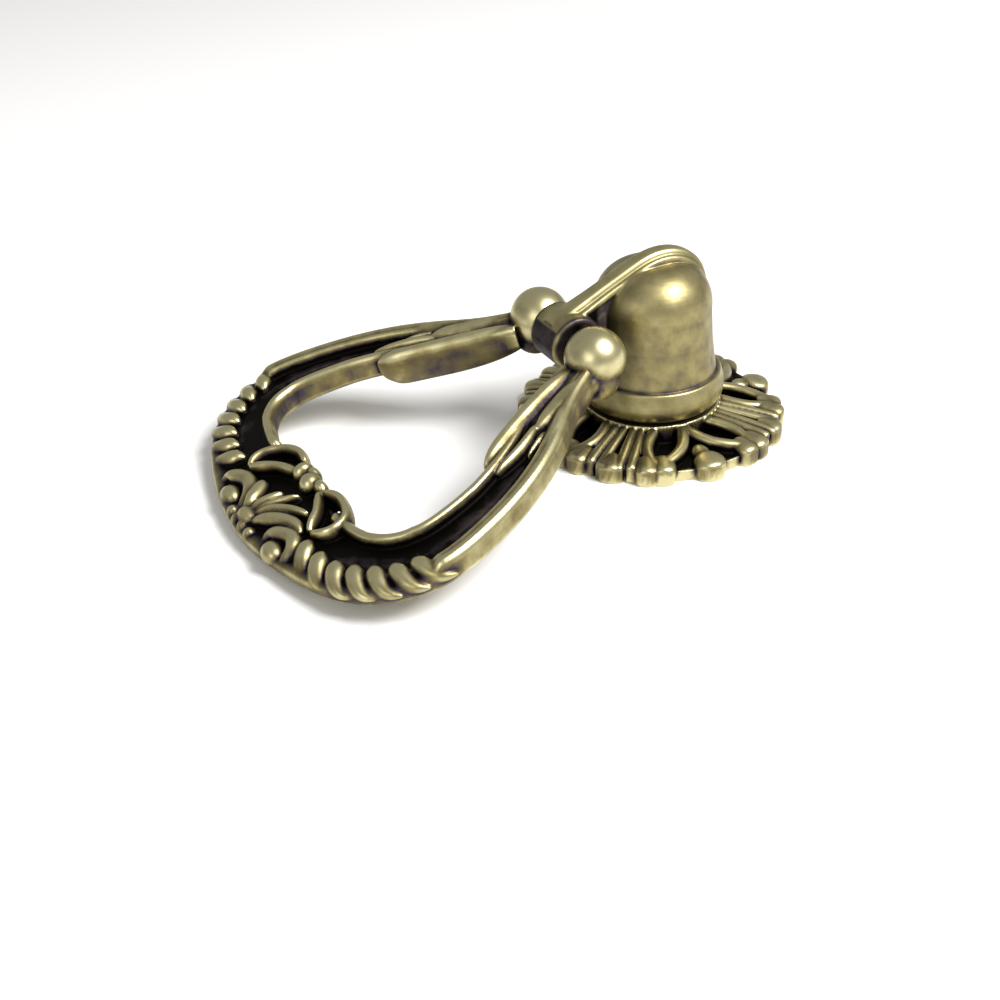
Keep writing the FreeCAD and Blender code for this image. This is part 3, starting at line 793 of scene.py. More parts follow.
@dataclass
class PullRing:
    """The drop ring: bar, channel, arm leaves, rope edge, palmette, scrolls and balls.

    Each edge place is a point of the outer edge from the +X ball to the far middle: across as a
    share of the half width, along as a share of the reach, and the bar's width as a share of
    the bar width. A place counts these points, and goes on over their mirror images.
    """

    plane: RingPlane = field(default_factory=RingPlane)
    half_width: float = 28.4
    reach: float = 50.1
    bar_width: float = 9.0
    full_section_width: float = 5.6
    crest: float = 1.0
    floor: float = -0.6
    arm_floor: float = 0.35
    underside: float = -3.0
    ball_radius: float = 4.05
    ball_place: float = 7.27
    eye_half: float = 3.42
    edge_places: tuple[Point, ...] = (
        (0.361, 0.038, 0.56),
        (0.461, 0.120, 0.62),
        (0.613, 0.210, 0.78),
        (0.764, 0.313, 0.82),
        (0.884, 0.433, 0.85),
        (0.965, 0.555, 0.92),
        (1.000, 0.671, 1.00),
        (0.915, 0.812, 1.00),
        (0.725, 0.906, 1.00),
        (0.472, 0.960, 1.07),
        (0.218, 0.990, 1.27),
        (0.000, 1.000, 1.40),
    )
    bar_rings: int = 421
    channel_opens: tuple[float, float] = (1.7, 2.7)
    rim_drops: tuple[float, float] = (5.95, 6.35)
    inner_rim_ends: tuple[float, float] = (9.1, 9.4)
    bead_count: int = 7
    rope_from: float = 6.3
    rope_to: float = 9.0
    rope_turns_in: tuple[float, float] = (8.2, 9.0)
    rope_inset: float = 0.9

    def __post_init__(self) -> None:
        """Fit the outer edge."""
        half = [(w * self.half_width, u * self.reach) for w, u, _ in self.edge_places]
        self.edge = SmoothLine(half + [(-w, u) for w, u in reversed(half[:-1])])

    def half_place(self, place: float) -> float:
        """Give the place on the +X side that a place or its mirror image has."""
        last = len(self.edge_places) - 1
        return place if place <= last else 2 * last - place

    def along_edge(self, place: float) -> tuple[np.ndarray, np.ndarray, float]:
        """Read the outer edge at a place.

        Args:
            place: The place on the edge.

        Returns:
            The point, the inward direction and the bar's width there.
        """
        last = len(self.edge_places) - 1
        point = self.edge.at_place(place)
        step = 0.02
        ahead = self.edge.at_place(min(place + step, 2 * last))
        way = ahead - self.edge.at_place(max(place - step, 0))
        inward = np.array([way[1], -way[0]]) / np.linalg.norm(way)
        if inward @ np.array([point[0], point[1] - self.reach / 2]) > 0:
            inward = -inward
        half_place = self.half_place(place)
        first = min(int(half_place), last - 1)
        share = half_place - first
        widths = [p[2] for p in self.edge_places]
        width = widths[first] * (1 - share) + widths[first + 1] * share
        return point, inward, width * self.bar_width

    def section(self, place: float, width: float) -> list[tuple[float, float]]:
        """Draw the bar's outline at a place.

        Args:
            place: The place on the edge.
            width: The bar's width there.

        Returns:
            Depths from the outer edge, each with its height.
        """
        half_place = self.half_place(place)
        channel = smoothstep(*self.channel_opens, half_place)
        rope = smoothstep(*self.rim_drops, half_place)
        open_side = smoothstep(*self.inner_rim_ends, half_place)
        top, low = self.crest, self.underside
        floor = self.floor * channel + self.arm_floor * (1 - channel)
        # Depth, height, and how much lower it lies where the rope takes the rim's place.
        outer = [
            (0.0, 0.1, 1.1),
            (0.2, top - 0.45, 1.15),
            (0.6, top - 0.05, 1.35),
            (1.15, top, 1.35),
            (1.45, top - 0.25, 1.15),
            (1.8, top - 0.05, 1.4),
            (2.15, top - 0.35, 1.15),
            (2.35, (top + floor) / 2, 0.7),
            (2.5, floor, 0.0),
        ]
        rim = top - (top - floor) * open_side
        inner = [
            (1.6, floor),
            (1.5, (rim + floor) / 2),
            (1.3, rim - 0.2),
            (0.95, rim),
            (0.55, rim - 0.05),
            (0.2, rim - 0.4),
            (0.0, min(0.1, rim - 0.5)),
        ]
        narrow = min(1.0, width / self.full_section_width)
        outline = [(width / 2, low), (1.3, low), (0.45, low + 0.35), (0.05, low + 1.0)]
        outline += [(d * narrow, h - drop * rope) for d, h, drop in outer]
        outline += [(width / 2, floor + 0.12)]
        outline += [(width - d * narrow, h) for d, h in inner]
        outline += [(width - 0.05, low + 1.0), (width - 0.45, low + 0.35), (width - 1.3, low)]
        return outline

    def bar(self) -> bpy.types.Mesh:
        """Sweep the outline round the ring.

        Returns:
            The closed bar.
        """
        rows = []
        for place in np.linspace(0, 2 * (len(self.edge_places) - 1), self.bar_rings):
            point, inward, width = self.along_edge(place)
            row = []
            for depth, height in self.section(place, width):
                spot = point + inward * depth
                row.append((spot[0], spot[1], height))
            rows.append(row)
        return grid_mesh(self.plane.place(np.array(rows)), "ring_bar")

    def stroke(self, foundry: Foundry, stroke: Stroke, both: bool = True) -> None:
        """Add a stroke to the ring.

        Args:
            foundry: The ring's mould.
            stroke: The stroke, in the ring's plane.
            both: Whether its mirror image is added too.
        """
        rows = stroke.rows()
        foundry.add(grid_mesh(self.plane.place(rows), "stroke"))
        if both:
            foundry.add(grid_mesh(self.plane.place(rows * np.array([-1, 1, 1])), "stroke"))

    def blob(self, foundry: Foundry, centre: Point, halves: Point, both: bool = False) -> None:
        """Add an ellipsoid to the ring.

        Args:
            foundry: The ring's mould.
            centre: Its middle, in the ring's plane.
            halves: Half its sizes across, along and up.
            both: Whether its mirror image is added too.
        """
        pole_gap = 0.05
        polar = np.linspace(pole_gap, math.pi - pole_gap, 20)[:, None]
        turns = np.linspace(0, math.tau, 32, endpoint=False)[None, :]
        ball = [np.sin(polar) * np.cos(turns), np.sin(polar) * np.sin(turns)]
        ball.append(np.cos(polar) * np.ones_like(turns))
        rows = np.stack(ball, axis=-1) * halves + centre
        for side in (1, -1) if both else (1,):
            foundry.add(grid_mesh(self.plane.place(rows * np.array([side, 1, 1])), "blob"))

    def rope(self) -> bpy.types.Mesh:
        """Lay the slanted beads along both outer edges.

        Returns:
            The joined beads.
        """
        bead = Stroke(
            [
                (4.3, -1.0, 0.55, 0.85, 0.9),
                (3.2, -0.4, 0.95, 1.2, 1.2),
                (2.0, 0.3, 0.85, 1.25, 1.2),
                (0.95, 1.2, 0.35, 1.15, 1.0),
                (0.35, 2.3, -0.25, 0.9, 0.8),
                (0.2, 3.8, -0.95, 0.4, 0.4),
            ],
            blunt=2.6,
        )
        source = grid_mesh(bead.rows(), "rope_bead")
        origin = self.plane.place(np.zeros(3))
        up = self.plane.place(np.array([0.0, 0.0, 1.0])) - origin
        spots, turns, sizes = [], [], []
        for place in np.linspace(self.rope_from, self.rope_to, self.bead_count):
            point, inward, _ = self.along_edge(place)
            onward = self.along_edge(place - 0.1)[0] - point
            point = point + inward * self.rope_inset * smoothstep(*self.rope_turns_in, place)
            for side in (1, -1):
                spot, axis, sweep = (
                    self.plane.place(np.array([*(flat * np.array([side, 1])), 0.0]))
                    for flat in (point, inward, onward)
                )
                axis, sweep = axis - origin, sweep - origin
                across = np.cross(up, axis)
                frame = Matrix((Vector(axis), Vector(across), Vector(up))).transposed()
                spots.append(spot)
                turns.append(tuple(frame.to_euler()))
                sizes.append((1.0, float(np.sign(across @ sweep)), 1.0))
        return Patterner.along_points(source, np.array(spots), np.array(turns), np.array(sizes))

    def balls(self) -> list[bpy.types.Mesh]:
        """Make the two balls, each with a flat face towards the eye.

        Returns:
            The two closed balls.
        """
        made = []
        for side in (1, -1):
            ball = bmesh.new()
            bmesh.ops.create_uvsphere(
                ball,
                u_segments=64,
                v_segments=40,
                radius=self.ball_radius,
                matrix=Matrix.Translation((side * self.ball_place, 0, 0)),
            )
            cut = bmesh.ops.bisect_plane(
                ball,
                geom=[*ball.verts, *ball.edges, *ball.faces],
                plane_co=(side * self.eye_half, 0, 0),
                plane_no=(-side, 0, 0),
                clear_outer=True,
            )
            rim = [e for e in cut["geom_cut"] if isinstance(e, bmesh.types.BMEdge)]
            bmesh.ops.edgeloop_fill(ball, edges=rim)
            mesh = bpy.data.meshes.new("ball")
            ball.to_mesh(mesh)
            ball.free()
            for vertex in mesh.vertices:
                vertex.co = Vector(self.plane.place(np.array(vertex.co) * (1, -1, 1)))
            made.append(face_outwards(mesh))
        return made

    def lobes(self, foundry: Foundry) -> None:
        """Add the lower lobe of each pear-shaped end and its short neck.

        Args:
            foundry: The ring's mould.
        """
        self.blob(foundry, (8.0, 1.0, -2.3), (3.2, 3.2, 3.1), both=True)
        self.blob(foundry, (9.0, 4.2, -1.4), (2.6, 3.4, 2.0), both=True)
        neck = [(8.4, 1.5, 0.3, 2.0, 1.9), (9.3, 4.0, 0.55, 2.1, 1.9), (10.3, 6.5, 0.5, 2.4, 1.9)]
        self.stroke(foundry, Stroke(neck, around=32))

    def palmette(self, foundry: Foundry) -> None:
        """Add the fingers, the scrolls with their beads, the open leaves and the knob.

        Args:
            foundry: The ring's mould.
        """
        fingers = [
            [(-0.6, 48.2, 0.9), (-1.4, 46.6, 0.95), (-2.9, 44.9, 1.15), (-3.8, 43.6, 0.95)],
            [(0.2, 47.8, 0.7), (-0.1, 46.0, 0.8), (0.0, 44.2, 0.8), (0.2, 42.6, 0.6)],
            [(0.8, 47.6, 0.5), (1.1, 45.2, 0.6), (1.8, 43.2, 0.6), (2.5, 41.2, 0.4)],
            [(1.0, 47.8, 0.5), (2.3, 45.4, 0.7), (4.4, 43.4, 0.75), (7.0, 41.8, 0.5)],
        ]
        for line, crest in zip(fingers, (1.15, 0.85, 0.85, 1.15)):
            path = [(w, u, crest, half, 1.3) for w, u, half in line]
            path[0] = (*line[0][:2], 0.35, line[0][2], 1.1)
            self.stroke(foundry, Stroke(path, blunt=3.5), both=False)
        near_s = [
            (1.6, 48.3, 0.2, 0.6, 1.0),
            (2.6, 47.1, 0.8, 0.85, 1.2),
            (4.0, 45.7, 1.1, 1.0, 1.3),
            (6.1, 44.4, 1.15, 1.0, 1.3),
            (8.0, 43.9, 1.0, 0.95, 1.2),
            (9.6, 44.0, 0.6, 0.6, 1.1),
        ]
        far_scroll = [
            (-9.3, 48.4, -0.7, 0.9, 0.9),
            (-9.4, 47.2, 0.4, 1.0, 1.1),
            (-8.2, 46.0, 1.0, 1.05, 1.2),
            (-6.2, 45.2, 1.15, 1.05, 1.2),
            (-4.2, 45.6, 1.1, 1.0, 1.2),
            (-2.9, 46.8, 0.7, 0.95, 1.2),
            (-2.2, 48.4, 0.0, 0.8, 1.0),
        ]
        near_scroll = [
            (5.9, 48.4, -0.2, 0.7, 0.9),
            (6.3, 47.0, 0.7, 1.0, 1.1),
            (7.8, 45.8, 1.1, 1.05, 1.2),
            (9.6, 45.2, 1.15, 1.05, 1.2),
            (11.0, 45.9, 0.95, 1.05, 1.2),
            (11.5, 47.1, 0.4, 1.0, 1.1),
            (11.6, 48.2, -0.7, 0.9, 0.9),
            (11.8, 48.6, -1.9, 0.7, 0.6),
        ]
        for path, blunt in ((near_s, 4), (far_scroll, 6), (near_scroll, 6)):
            self.stroke(foundry, Stroke(path, blunt=blunt), both=False)
        scroll_bead, fold = (1.9, 1.45, 1.4), (1.05, 1.0, 1.6)
        for centre, halves in (
            ((-5.9, 48.0, -0.75), scroll_bead),
            ((8.9, 48.0, -0.75), scroll_bead),
            ((0.3, 47.9, -0.5), (1.9, 1.3, 1.4)),
            ((-2.6, 48.9, -1.3), fold),
            ((-0.7, 49.0, -1.3), fold),
            ((1.3, 49.0, -1.3), fold),
            ((3.3, 48.9, -1.3), fold),
        ):
            self.blob(foundry, centre, halves)
        leaves = [
            [(-2.9, 38.1), (-5.2, 37.8), (-7.6, 38.9), (-9.1, 41.2), (-8.9, 43.2), (-8.2, 44.2)],
            [(-1.7, 39.6), (-3.4, 40.3), (-5.2, 41.3), (-6.9, 42.9), (-8.2, 44.2)],
            [(4.4, 39.2), (6.9, 37.8), (9.6, 37.9), (12.0, 39.2), (12.4, 41.2), (10.4, 43.2)],
            [(4.4, 39.2), (6.3, 40.2), (8.0, 41.2), (9.2, 42.3), (10.4, 43.2)],
        ]
        for line in leaves:
            path = [(w, u, 1.3, 0.72, 1.7) for w, u in line]
            path[0] = (*line[0], 1.15, 0.6, 1.5)
            path[-1] = (*line[-1], 1.0, 0.6, 1.4)
            self.stroke(foundry, Stroke(path, blunt=6), both=False)
        for centre, halves in (
            ((1.4, 39.3, -0.1), (1.5, 1.5, 1.7)),
            ((-1.6, 39.0, -0.1), (1.1, 1.5, 1.6)),
            ((0.0, 38.2, -0.2), (1.2, 0.9, 1.4)),
            ((3.3, 38.6, -0.2), (1.3, 0.9, 1.5)),
        ):
            self.blob(foundry, centre, halves)

    def arm_leaf(self, foundry: Foundry) -> None:
        """Add the leaves that run down each arm into the rims.

        Args:
            foundry: The ring's mould.
        """
        leaves = [
            [
                (6.9, 2.6, 0.9, 1.3, 2.4),
                (7.9, 5.2, 1.25, 1.45, 2.6),
                (9.3, 8.6, 1.5, 1.5, 2.8),
                (11.4, 13.0, 1.65, 1.5, 2.9),
                (13.6, 17.2, 1.7, 1.45, 2.9),
                (15.3, 20.2, 1.7, 1.3, 2.9),
                (16.1, 21.8, 1.5, 0.7, 2.6),
            ],
            [
                (9.9, 2.4, 0.7, 1.3, 2.2),
                (11.0, 5.4, 1.1, 1.5, 2.4),
                (12.7, 8.8, 1.25, 1.75, 2.4),
                (14.2, 11.6, 1.35, 1.5, 2.4),
                (15.1, 13.9, 1.2, 0.8, 2.2),
            ],
            [
                (12.9, 7.4, 0.9, 1.0, 2.0),
                (15.0, 9.8, 1.2, 1.15, 2.2),
                (17.3, 12.2, 1.2, 1.1, 2.2),
                (19.2, 14.6, 1.0, 0.7, 1.9),
            ],
            [
                (14.0, 12.6, 1.1, 0.9, 2.0),
                (15.8, 15.2, 1.1, 0.9, 1.9),
                (17.3, 18.2, 1.05, 0.8, 1.7),
                (18.4, 21.2, 0.95, 0.5, 1.5),
            ],
            [
                (15.9, 12.6, 0.7, 0.45, 1.5),
                (17.2, 14.8, 0.6, 0.5, 1.4),
                (18.2, 16.8, 0.2, 0.2, 1.1),
            ],
        ]
        for leaf in leaves:
            self.stroke(foundry, Stroke(leaf, blunt=4))

    def plain_wear_and_shading(self, surface: Surface) -> np.ndarray:
        """Grade the tone by place: rubbed wear on raised faces, patina in the channel, darker
        below, painted light and shade by height on the balls and a painted sheen on the channel
        floor.

        Args:
            surface: The casting's surface.

        Returns:
            One number for each vertex, before the relief changes it.
        """
        cos, sin = math.cos(self.plane.droop), math.sin(self.plane.droop)
        y = surface.spots[:, 1] + self.plane.pivot_reach
        z = surface.spots[:, 2] - self.plane.pivot_height
        height, along = -y * sin + z * cos, -y * cos - z * sin
        lift = surface.normals[:, 2] * cos - surface.normals[:, 1] * sin
        raised = 0.46 * ramp(height - self.floor, 0.3, 0.9) * ramp(lift, -0.05, 1)
        # Painted light and shade on the balls: brighter high up, darker on the lower lobes.
        painted_ball_light = 0.32 * (1 - ramp(along, 4.5, 2)) * ramp(height, -2.4, 2.4)
        plain = 0.14 + np.maximum(raised, painted_ball_light)
        # Painted sheen: faces turned up below the crest, as on the channel floor, are painted a
        # paler purple-grey stripe.
        plain += 0.16 * ramp(lift, 0.5, 0.5) * np.clip(-height * 3, 0, 1)
        opening_middle, opening_radius = 27, 21.5
        around = np.hypot(surface.spots[:, 0], along - opening_middle)
        outside = ramp(around, opening_radius, 1.5) * ramp(height, -2.6, 1.2)
        return plain + 0.13 * outside * np.clip(0.2 - height, 0, 1)

    def build(self, material: bpy.types.Material) -> bpy.types.Object:
        """Cast the ring, grade its wear and painted shading and hand it over.

        Args:
            material: The ring's finish.

        Returns:
            The finished ring.
        """
        foundry = Foundry("pull_ring", 0.15, 3)
        foundry.add(self.bar())
        foundry.add(self.rope())
        for ball in self.balls():
            foundry.add(ball)
        self.lobes(foundry)
        self.palmette(foundry)
        self.arm_leaf(foundry)
        mesh = foundry.cast()
        surface = Surface(mesh)
        store(mesh, "wear", surface.wear(self.plain_wear_and_shading(surface), 5.0, 0.7))
        return finished(mesh, material, Body.PULL, "pull_ring")


@dataclass
class Post:
    """The domed post with its collar, the fin over the dome and the eye of the hinge."""

    post_radius: float = 8.1
    foot_radius: float = 8.95
    collar_radius: float = 10.1
    collar_foot: float = 3.9
    collar_top: float = 8.7
    collar_swell: float = 2.3
    spigot_radius: float = 4.2
    spigot_foot: float = 0.3
    height: float = 24.1
    dome_round: float = 5.8
    pivot_reach: float = PIVOT_REACH
    pivot_height: float = PIVOT_HEIGHT
    eye_radius: float = 3.8
    eye_width: float = 6.6
    eye_edge: float = 0.45
    fin_half: float = 1.95
    fin_flare: float = 0.4
    web_half: float = 1.25
    bore_radius: float = 1.3

    def turned(self) -> bpy.types.Mesh:
        """Turn the post's outline about its axis.

        Returns:
            The closed post with its spigot and collar.
        """
        axis, swell, lip = 0.01, self.collar_swell, self.collar_top
        outline = [(axis, self.spigot_foot), (self.spigot_radius, self.spigot_foot)]
        outline.append((self.spigot_radius, self.collar_foot))
        for angle in (math.radians(turn) for turn in np.linspace(-88, 0, 9)):
            radius = self.collar_radius - swell + swell * math.cos(angle)
            outline.append((radius, self.collar_foot + swell + swell * math.sin(angle)))
        outline += [(10.05, lip - 1.7), (9.85, lip - 0.8), (9.6, lip - 0.1), (9.45, lip)]
        outline += [(9.1, lip - 0.1), (self.foot_radius, lip), (8.88, lip + 0.6), (8.6, lip + 2.4)]
        outline += [(8.3, lip + 5.0), (self.post_radius, self.height - self.dome_round - 1)]
        for angle in (math.radians(turn) for turn in np.linspace(0, 88, 16)):
            radius = self.post_radius - self.dome_round * (1 - math.cos(angle))
            outline.append((radius, self.height - self.dome_round * (1 - math.sin(angle))))
        outline.append((axis, self.height))
        turns = np.linspace(0, math.tau, 180, endpoint=False)
        rows = [[(r * math.cos(t), r * math.sin(t), z) for t in turns] for r, z in outline]
        return grid_mesh(np.array(rows), "post_turned")

    def fin(self) -> bpy.types.Mesh:
        """Sweep the fin's rounded band, with a groove on each side, from the eye over the dome.

        Returns:
            The closed band.
        """
        crest = [(-16.4, 19.2), (-14.0, 20.3), (-11.0, 21.6), (-8.0, 22.95), (-5.0, 24.3)]
        crest += [(-2.2, 25.45), (0.6, 25.95), (3.4, 25.6), (5.9, 24.3), (7.6, 22.2)]
        crest += [(8.35, 19.5)]
        side = [(-0.6, -3.6), (-0.6, -1.9), (-0.95, -1.7), (-1.0, -1.3), (-0.97, -1.0)]
        side += [(-0.8, -0.8), (-0.68, -0.85), (-0.6, -0.4), (-0.48, -0.12), (-0.25, 0.0)]
        outline = side + [(-x, depth) for x, depth in reversed(side)]
        spots = SmoothLine(crest).samples(80)
        ways = np.gradient(spots, axis=0)
        ways /= np.linalg.norm(ways, axis=1, keepdims=True)
        rows = []
        for (y, z), (run, rise) in zip(spots, ways):
            half = self.fin_half + self.fin_flare * smoothstep(-8, -15, y)
            rows.append([(x * half, y - rise * depth, z + run * depth) for x, depth in outline])
        return grid_mesh(np.array(rows), "fin")

    def web(self) -> bpy.types.Mesh:
        """Make the flat web below the band, between the eye and the post.

        Returns:
            The closed web.
        """
        corners = [(-16.3, 17.8), (-7.0, 22.2), (-5.0, 22.0), (-5.0, 11.5), (-8.0, 11.5)]
        corners += [(-14.5, 13.5)]
        rows = [[(x, y, z) for y, z in corners] for x in (-self.web_half, self.web_half)]
        return grid_mesh(np.array(rows), "web")

    def eye(self) -> bpy.types.Mesh:
        """Make the eye, a short bored barrel across the fin's end.

        Returns:
            The closed barrel.
        """
        bore, outer = self.bore_radius, self.eye_radius
        half, edge = self.eye_width / 2, self.eye_edge
        outline = [
            (bore, -half),
            (outer - edge, -half),
            (outer - edge * 0.3, -half + edge * 0.3),
            (outer, -half + edge),
            (outer, half - edge),
            (outer - edge * 0.3, half - edge * 0.3),
            (outer - edge, half),
            (bore, half),
        ]
        rings = []
        for radius, x in outline:
            ring = []
            for turn in np.linspace(0, math.tau, 96, endpoint=False):
                y = -self.pivot_reach + radius * math.cos(turn)
                ring.append((x, y, self.pivot_height + radius * math.sin(turn)))
            rings.append(ring)
        return hoop_mesh(rings, "eye")

    def plain_wear_and_shading(self, surface: Surface) -> np.ndarray:
        """Grade the tone by place: painted shade on the hinge and low on the collar, rubbed wear
        on the band.

        Args:
            surface: The casting's surface.

        Returns:
            One number for each vertex, before the relief changes it.
        """
        x, y, z = surface.spots.T
        band_foot, band_half = 18.6, 2.6
        # Painted shade on the fin's sides and the eye, which sit under the band and between the
        # balls.
        hinge = ramp(np.hypot(x, y) - self.foot_radius, 0.2, 1.0) * (z > self.collar_top + 1)
        band = ramp(surface.normals[:, 2], 0.2, 0.4) * (z > band_foot) * (abs(x) < band_half)
        # Painted shade at the collar's foot, where it curls under towards the rosette.
        low = ramp(self.collar_foot + 2.4 - z, 0, 2)
        return 0.5 - 0.46 * hinge * (1 - band) - 0.25 * low + 0.18 * band

    def build(self, material: bpy.types.Material) -> bpy.types.Object:
        """Cast the post, grade its wear and painted shading and hand it over.

        Args:
            material: The post's finish.

        Returns:
            The finished post.
        """
        foundry = Foundry("post", 0.13, 6)
        for mesh in (self.turned(), self.fin(), self.web(), self.eye()):
            foundry.add(mesh)
        mesh = foundry.cast()
        surface = Surface(mesh)
        store(mesh, "wear", surface.wear(self.plain_wear_and_shading(surface), 4.0, 0.6))
        return finished(mesh, material, Body.MOUNT, "post")


@dataclass
class Backplate:
    """The rosette: four sectors of petals, ribs, knobs and corner lobes on a low ground."""

    radius: float = 19.0
    edge_height: float = 2.6
    seat_height: float = 3.9
    seat_radius: float = 9.5
    seat_flare: float = 0.3
    ground_height: float = 1.5
    ground_radius: float = 17.3
    hole_radius: float = 4.35
    turn: float = math.radians(-5.3)
    sectors: int = 4
    petal_half: float = 0.82
    rib_root: float = 8.8

    def crown(self, across: float, along: float) -> float:
        """Work out the ornament's crest height at a point of the plan.

        Args:
            across: The point's X.
            along: The point's Y.

        Returns:
            The height, which falls from the seat to the edge.
        """
        distance = math.hypot(across, along)
        share = (distance - self.seat_radius) / (self.radius - self.seat_radius)
        fall = self.seat_height - self.edge_height
        return self.seat_height - fall * min(max(share, 0), 1)

    def ridge(self, line: list[Point], blunt: float = 6, sink: float = 0.0) -> bpy.types.Mesh:
        """Make a rounded ridge that stands on the drawer front.

        Args:
            line: Across, along and half width of each point of the ridge.
            blunt: How square the ends are.
            sink: How far the crest lies below the crown's slope.

        Returns:
            The closed ridge.
        """
        path = [
            (x, y, self.crown(x, y) - sink, half, min(half * 0.9, 0.9)) for x, y, half in line
        ]
        return grid_mesh(Stroke(path, blunt=blunt, foot=0.0).rows(), "ridge")

    def spoke(
        self, turn: float, line: list[tuple[float, float]], blunt: float
    ) -> bpy.types.Mesh:
        """Make a ridge that runs straight out from the axis.

        Args:
            turn: Its direction, in radians from +X.
            line: Distance from the axis and half width of each point of the ridge.
            blunt: How square the ends are.

        Returns:
            The closed ridge.
        """
        cos, sin = math.cos(turn), math.sin(turn)
        return self.ridge([(r * cos, r * sin, half) for r, half in line], blunt=blunt)

    def sector(self) -> bpy.types.Mesh:
        """Model one sector with its knob on +X.

        Returns:
            The sector's ridges in one mesh.
        """
        parts = [
            self.ridge([(13.2, 0, 0.9), (14.6, 0, 1.3), (16.0, 0, 1.1)], blunt=2.5, sink=0.3),
            self.ridge(
                [(15.2, 0, 1.3), (16.5, 0, 2.15), (17.7, 0, 2.2), (18.9, 0, 1.6)], blunt=3.5
            ),
        ]
        inner = [(9.3, 0.1), (10.6, 0.6), (13.1, 2.1), (14.9, 4.7), (15.9, 7.2)]
        outer = [(8.6, 3.9), (10.4, 5.7), (12.6, 6.9), (15.9, 7.3)]
        lobe_root, near, far = 15.0, 1.2, 1.7
        for side in (-1, 1):
            for line in (inner, outer):
                parts.append(self.ridge([(x, y * side, self.petal_half) for x, y in line]))
            for turn, end in ((21.5, 18.6), (29, 18.8)):
                lobe = [(lobe_root, near), ((lobe_root + end) / 2, far), (end, far * 0.85)]
                parts.append(self.spoke(math.radians(turn) * side, lobe, 3.5))
        for side in (-1, 1):
            for root, tip, end in ((10.5, 9.0, 18.0), (3.6, 4.0, 18.4)):
                line = []
                for share in (0.0, 0.5, 1.0):
                    angle = math.radians(45 + side * (root + (tip - root) * share))
                    distance = self.rib_root + (end - self.rib_root) * share
                    half = 0.5 + 0.3 * share
                    line.append((distance * math.cos(angle), distance * math.sin(angle), half))
                parts.append(self.ridge(line, sink=0.1))
        kite = [(15.4, 0.4), (16.6, 1.3), (17.8, 1.9), (18.9, 1.3)]
        parts.append(self.spoke(math.radians(45), kite, 4))
        return joined(parts, "rosette_sector")

    def disc(self) -> bpy.types.Mesh:
        """Turn the ground and the seat with the spigot's hole through them.

        Returns:
            The closed disc.
        """
        outline = [
            (self.hole_radius, 0.0),
            (self.ground_radius, 0.0),
            (self.ground_radius, self.ground_height),
            (self.seat_radius + self.seat_flare, self.ground_height),
            (self.seat_radius, self.seat_height),
            (self.hole_radius, self.seat_height),
        ]
        turns = np.linspace(0, math.tau, 180, endpoint=False)
        rings = [[(r * math.cos(t), r * math.sin(t), z) for t in turns] for r, z in outline]
        return hoop_mesh(rings, "rosette_disc")

    def plain_wear_and_shading(self, surface: Surface) -> np.ndarray:
        """Grade the wear by place: rubbed on raised faces and at the rim, dark on the ground.

        Args:
            surface: The casting's surface.

        Returns:
            One number for each vertex, before the relief changes it.
        """
        raised = ramp(surface.spots[:, 2] - self.ground_height, 0.3, 1.0)
        plain = 0.04 + 0.55 * raised * ramp(surface.normals[:, 2], -0.1, 1)
        return plain + 0.14 * ramp(np.hypot(*surface.spots[:, :2].T), 17.2, 1.0)

    def build(self, material: bpy.types.Material) -> bpy.types.Object:
        """Cast the rosette, grade its wear and hand it over.

        Args:
            material: The rosette's finish.

        Returns:
            The finished rosette.
        """
        foundry = Foundry("backplate", 0.13, 2)
        foundry.add(self.disc())
        foundry.add(Patterner.round_the_post(self.sector(), self.sectors))
        mesh = foundry.cast()
        mesh.transform(Matrix.Rotation(self.turn, 4, "Z"))
        surface = Surface(mesh)
        store(mesh, "wear", surface.wear(self.plain_wear_and_shading(surface), 5.0, 1.1))
        return finished(mesh, material, Body.MOUNT, "backplate")


@dataclass(frozen=True)
class Lamp:
    """A square soft lamp that points at the part, in metres and watts."""

    name: str
    place: Point
    size: float
    power: float
    target: Point = (0.0, -0.02, 0.01)

    def hang(self) -> None:
        """Hang the lamp in the scene."""
        data = bpy.data.lights.new(self.name, "AREA")
        data.shape = "SQUARE"
        data.size = self.size
        data.energy = self.power
        lamp = bpy.data.objects.new(self.name, data)
        lamp.location = self.place
        aim = Vector(self.target) - Vector(self.place)
        lamp.rotation_euler = aim.to_track_quat("-Z", "Y").to_euler()
        bpy.context.scene.collection.objects.link(lamp)


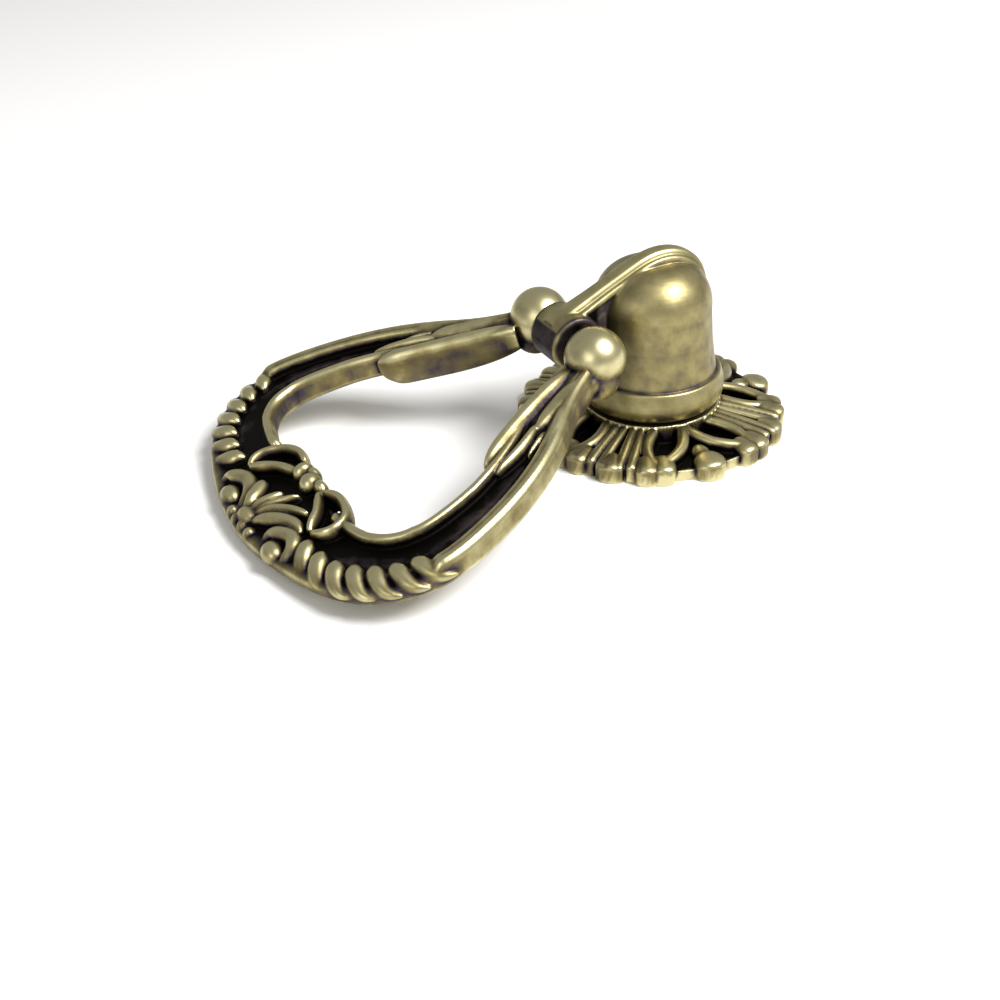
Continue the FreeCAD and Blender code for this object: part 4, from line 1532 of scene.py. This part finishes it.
@dataclass(frozen=True)
class Studio:
    """The photograph's camera in millimetres and pixels, a pale floor and soft light."""

    target: Point = (0.0, -20.0, 10.0)
    azimuth: float = math.radians(61.7736)
    elevation: float = math.radians(28.0359)
    roll: float = math.radians(1.0935)
    distance: float = 205.617
    focal_px: float = 1547.83
    photo_px: float = 1000.0
    centre_px: tuple[float, float] = (24.479, -110.221)
    sensor: float = 36.0
    floor_half_m: float = 3.0
    floor_drop_m: float = 0.00002
    floor_colour: str = "F4F3F1"
    room_strength: float = 0.42
    lamps: tuple[Lamp, ...] = (
        Lamp("key", (0.26, 0.17, 0.42), 0.26, 4.4),
        Lamp("fill", (0.3, -0.45, 0.25), 0.3, 0.8),
    )

    def camera(self) -> None:
        """Set up the camera at the photograph's view."""
        a, e = self.azimuth, self.elevation
        back = Vector((math.sin(a) * math.cos(e), -math.cos(a) * math.cos(e), math.sin(e)))
        right = Vector((math.cos(a), math.sin(a), 0))
        up = back.cross(right)
        cos, sin = math.cos(self.roll), math.sin(self.roll)
        level = right * cos - up * sin
        upright = right * sin + up * cos
        data = bpy.data.cameras.new("camera")
        data.sensor_width = self.sensor
        data.lens = self.focal_px / self.photo_px * self.sensor
        data.shift_x = -self.centre_px[0] / self.photo_px
        data.shift_y = self.centre_px[1] / self.photo_px
        data.clip_start = 0.01
        data.clip_end = 10
        camera = bpy.data.objects.new("camera", data)
        place = (Vector(self.target) + back * self.distance) * MM
        turn = Matrix((level, upright, back)).transposed().to_4x4()
        camera.matrix_world = Matrix.Translation(place) @ turn
        bpy.context.scene.collection.objects.link(camera)
        bpy.context.scene.camera = camera

    def floor(self) -> None:
        """Lay the pale floor, a hair below the part's back face."""
        mesh = bpy.data.meshes.new("floor")
        half = self.floor_half_m
        corners = [(-half, -half, 0), (half, -half, 0), (half, half, 0), (-half, half, 0)]
        mesh.from_pydata(corners, [], [(0, 1, 2, 3)])
        # Matt white paper: it gives the eye an even pale ground with a soft shadow.
        material = bpy.data.materials.new("floor_white")
        material.use_nodes = True
        shader = material.node_tree.nodes["Principled BSDF"]
        shader.inputs["Base Color"].default_value = linear(self.floor_colour)
        shader.inputs["Roughness"].default_value = 0.9
        mesh.materials.append(material)
        floor = bpy.data.objects.new("floor", mesh)
        floor.location.z = -self.floor_drop_m
        bpy.context.scene.collection.objects.link(floor)

    def world(self) -> None:
        """Fill the room with plain pale light."""
        world = bpy.data.worlds.new("room")
        world.use_nodes = True
        shader = world.node_tree.nodes["Background"]
        shader.inputs["Color"].default_value = (1, 1, 1, 1)
        shader.inputs["Strength"].default_value = self.room_strength
        bpy.context.scene.world = world

    def build(self) -> None:
        """Set the whole studio."""
        self.camera()
        self.floor()
        self.world()
        for lamp in self.lamps:
            lamp.hang()
        bpy.context.scene.view_settings.view_transform = "Standard"


def main() -> None:
    """Dress the part, piece by piece."""
    logging.basicConfig(level=logging.INFO, format="%(name)s: %(message)s")
    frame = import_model()
    brass = AntiqueBrass("antique_brass_cast").build()
    satin = AntiqueBrass(
        "antique_brass_satin", rubbed="BDB485", plain="8C825A", rubbed_roughness=0.34
    ).build()
    PullRing().build(brass)
    Post().build(satin)
    Backplate().build(brass)
    pin = frame["nodes"]["hinge_pin"]
    pin.data.materials.clear()
    pin.data.materials.append(PlatedSteel().build())
    log.info("%s: dressed as it is", pin.name)
    Studio().build()


if __name__ == "__main__":
    main()
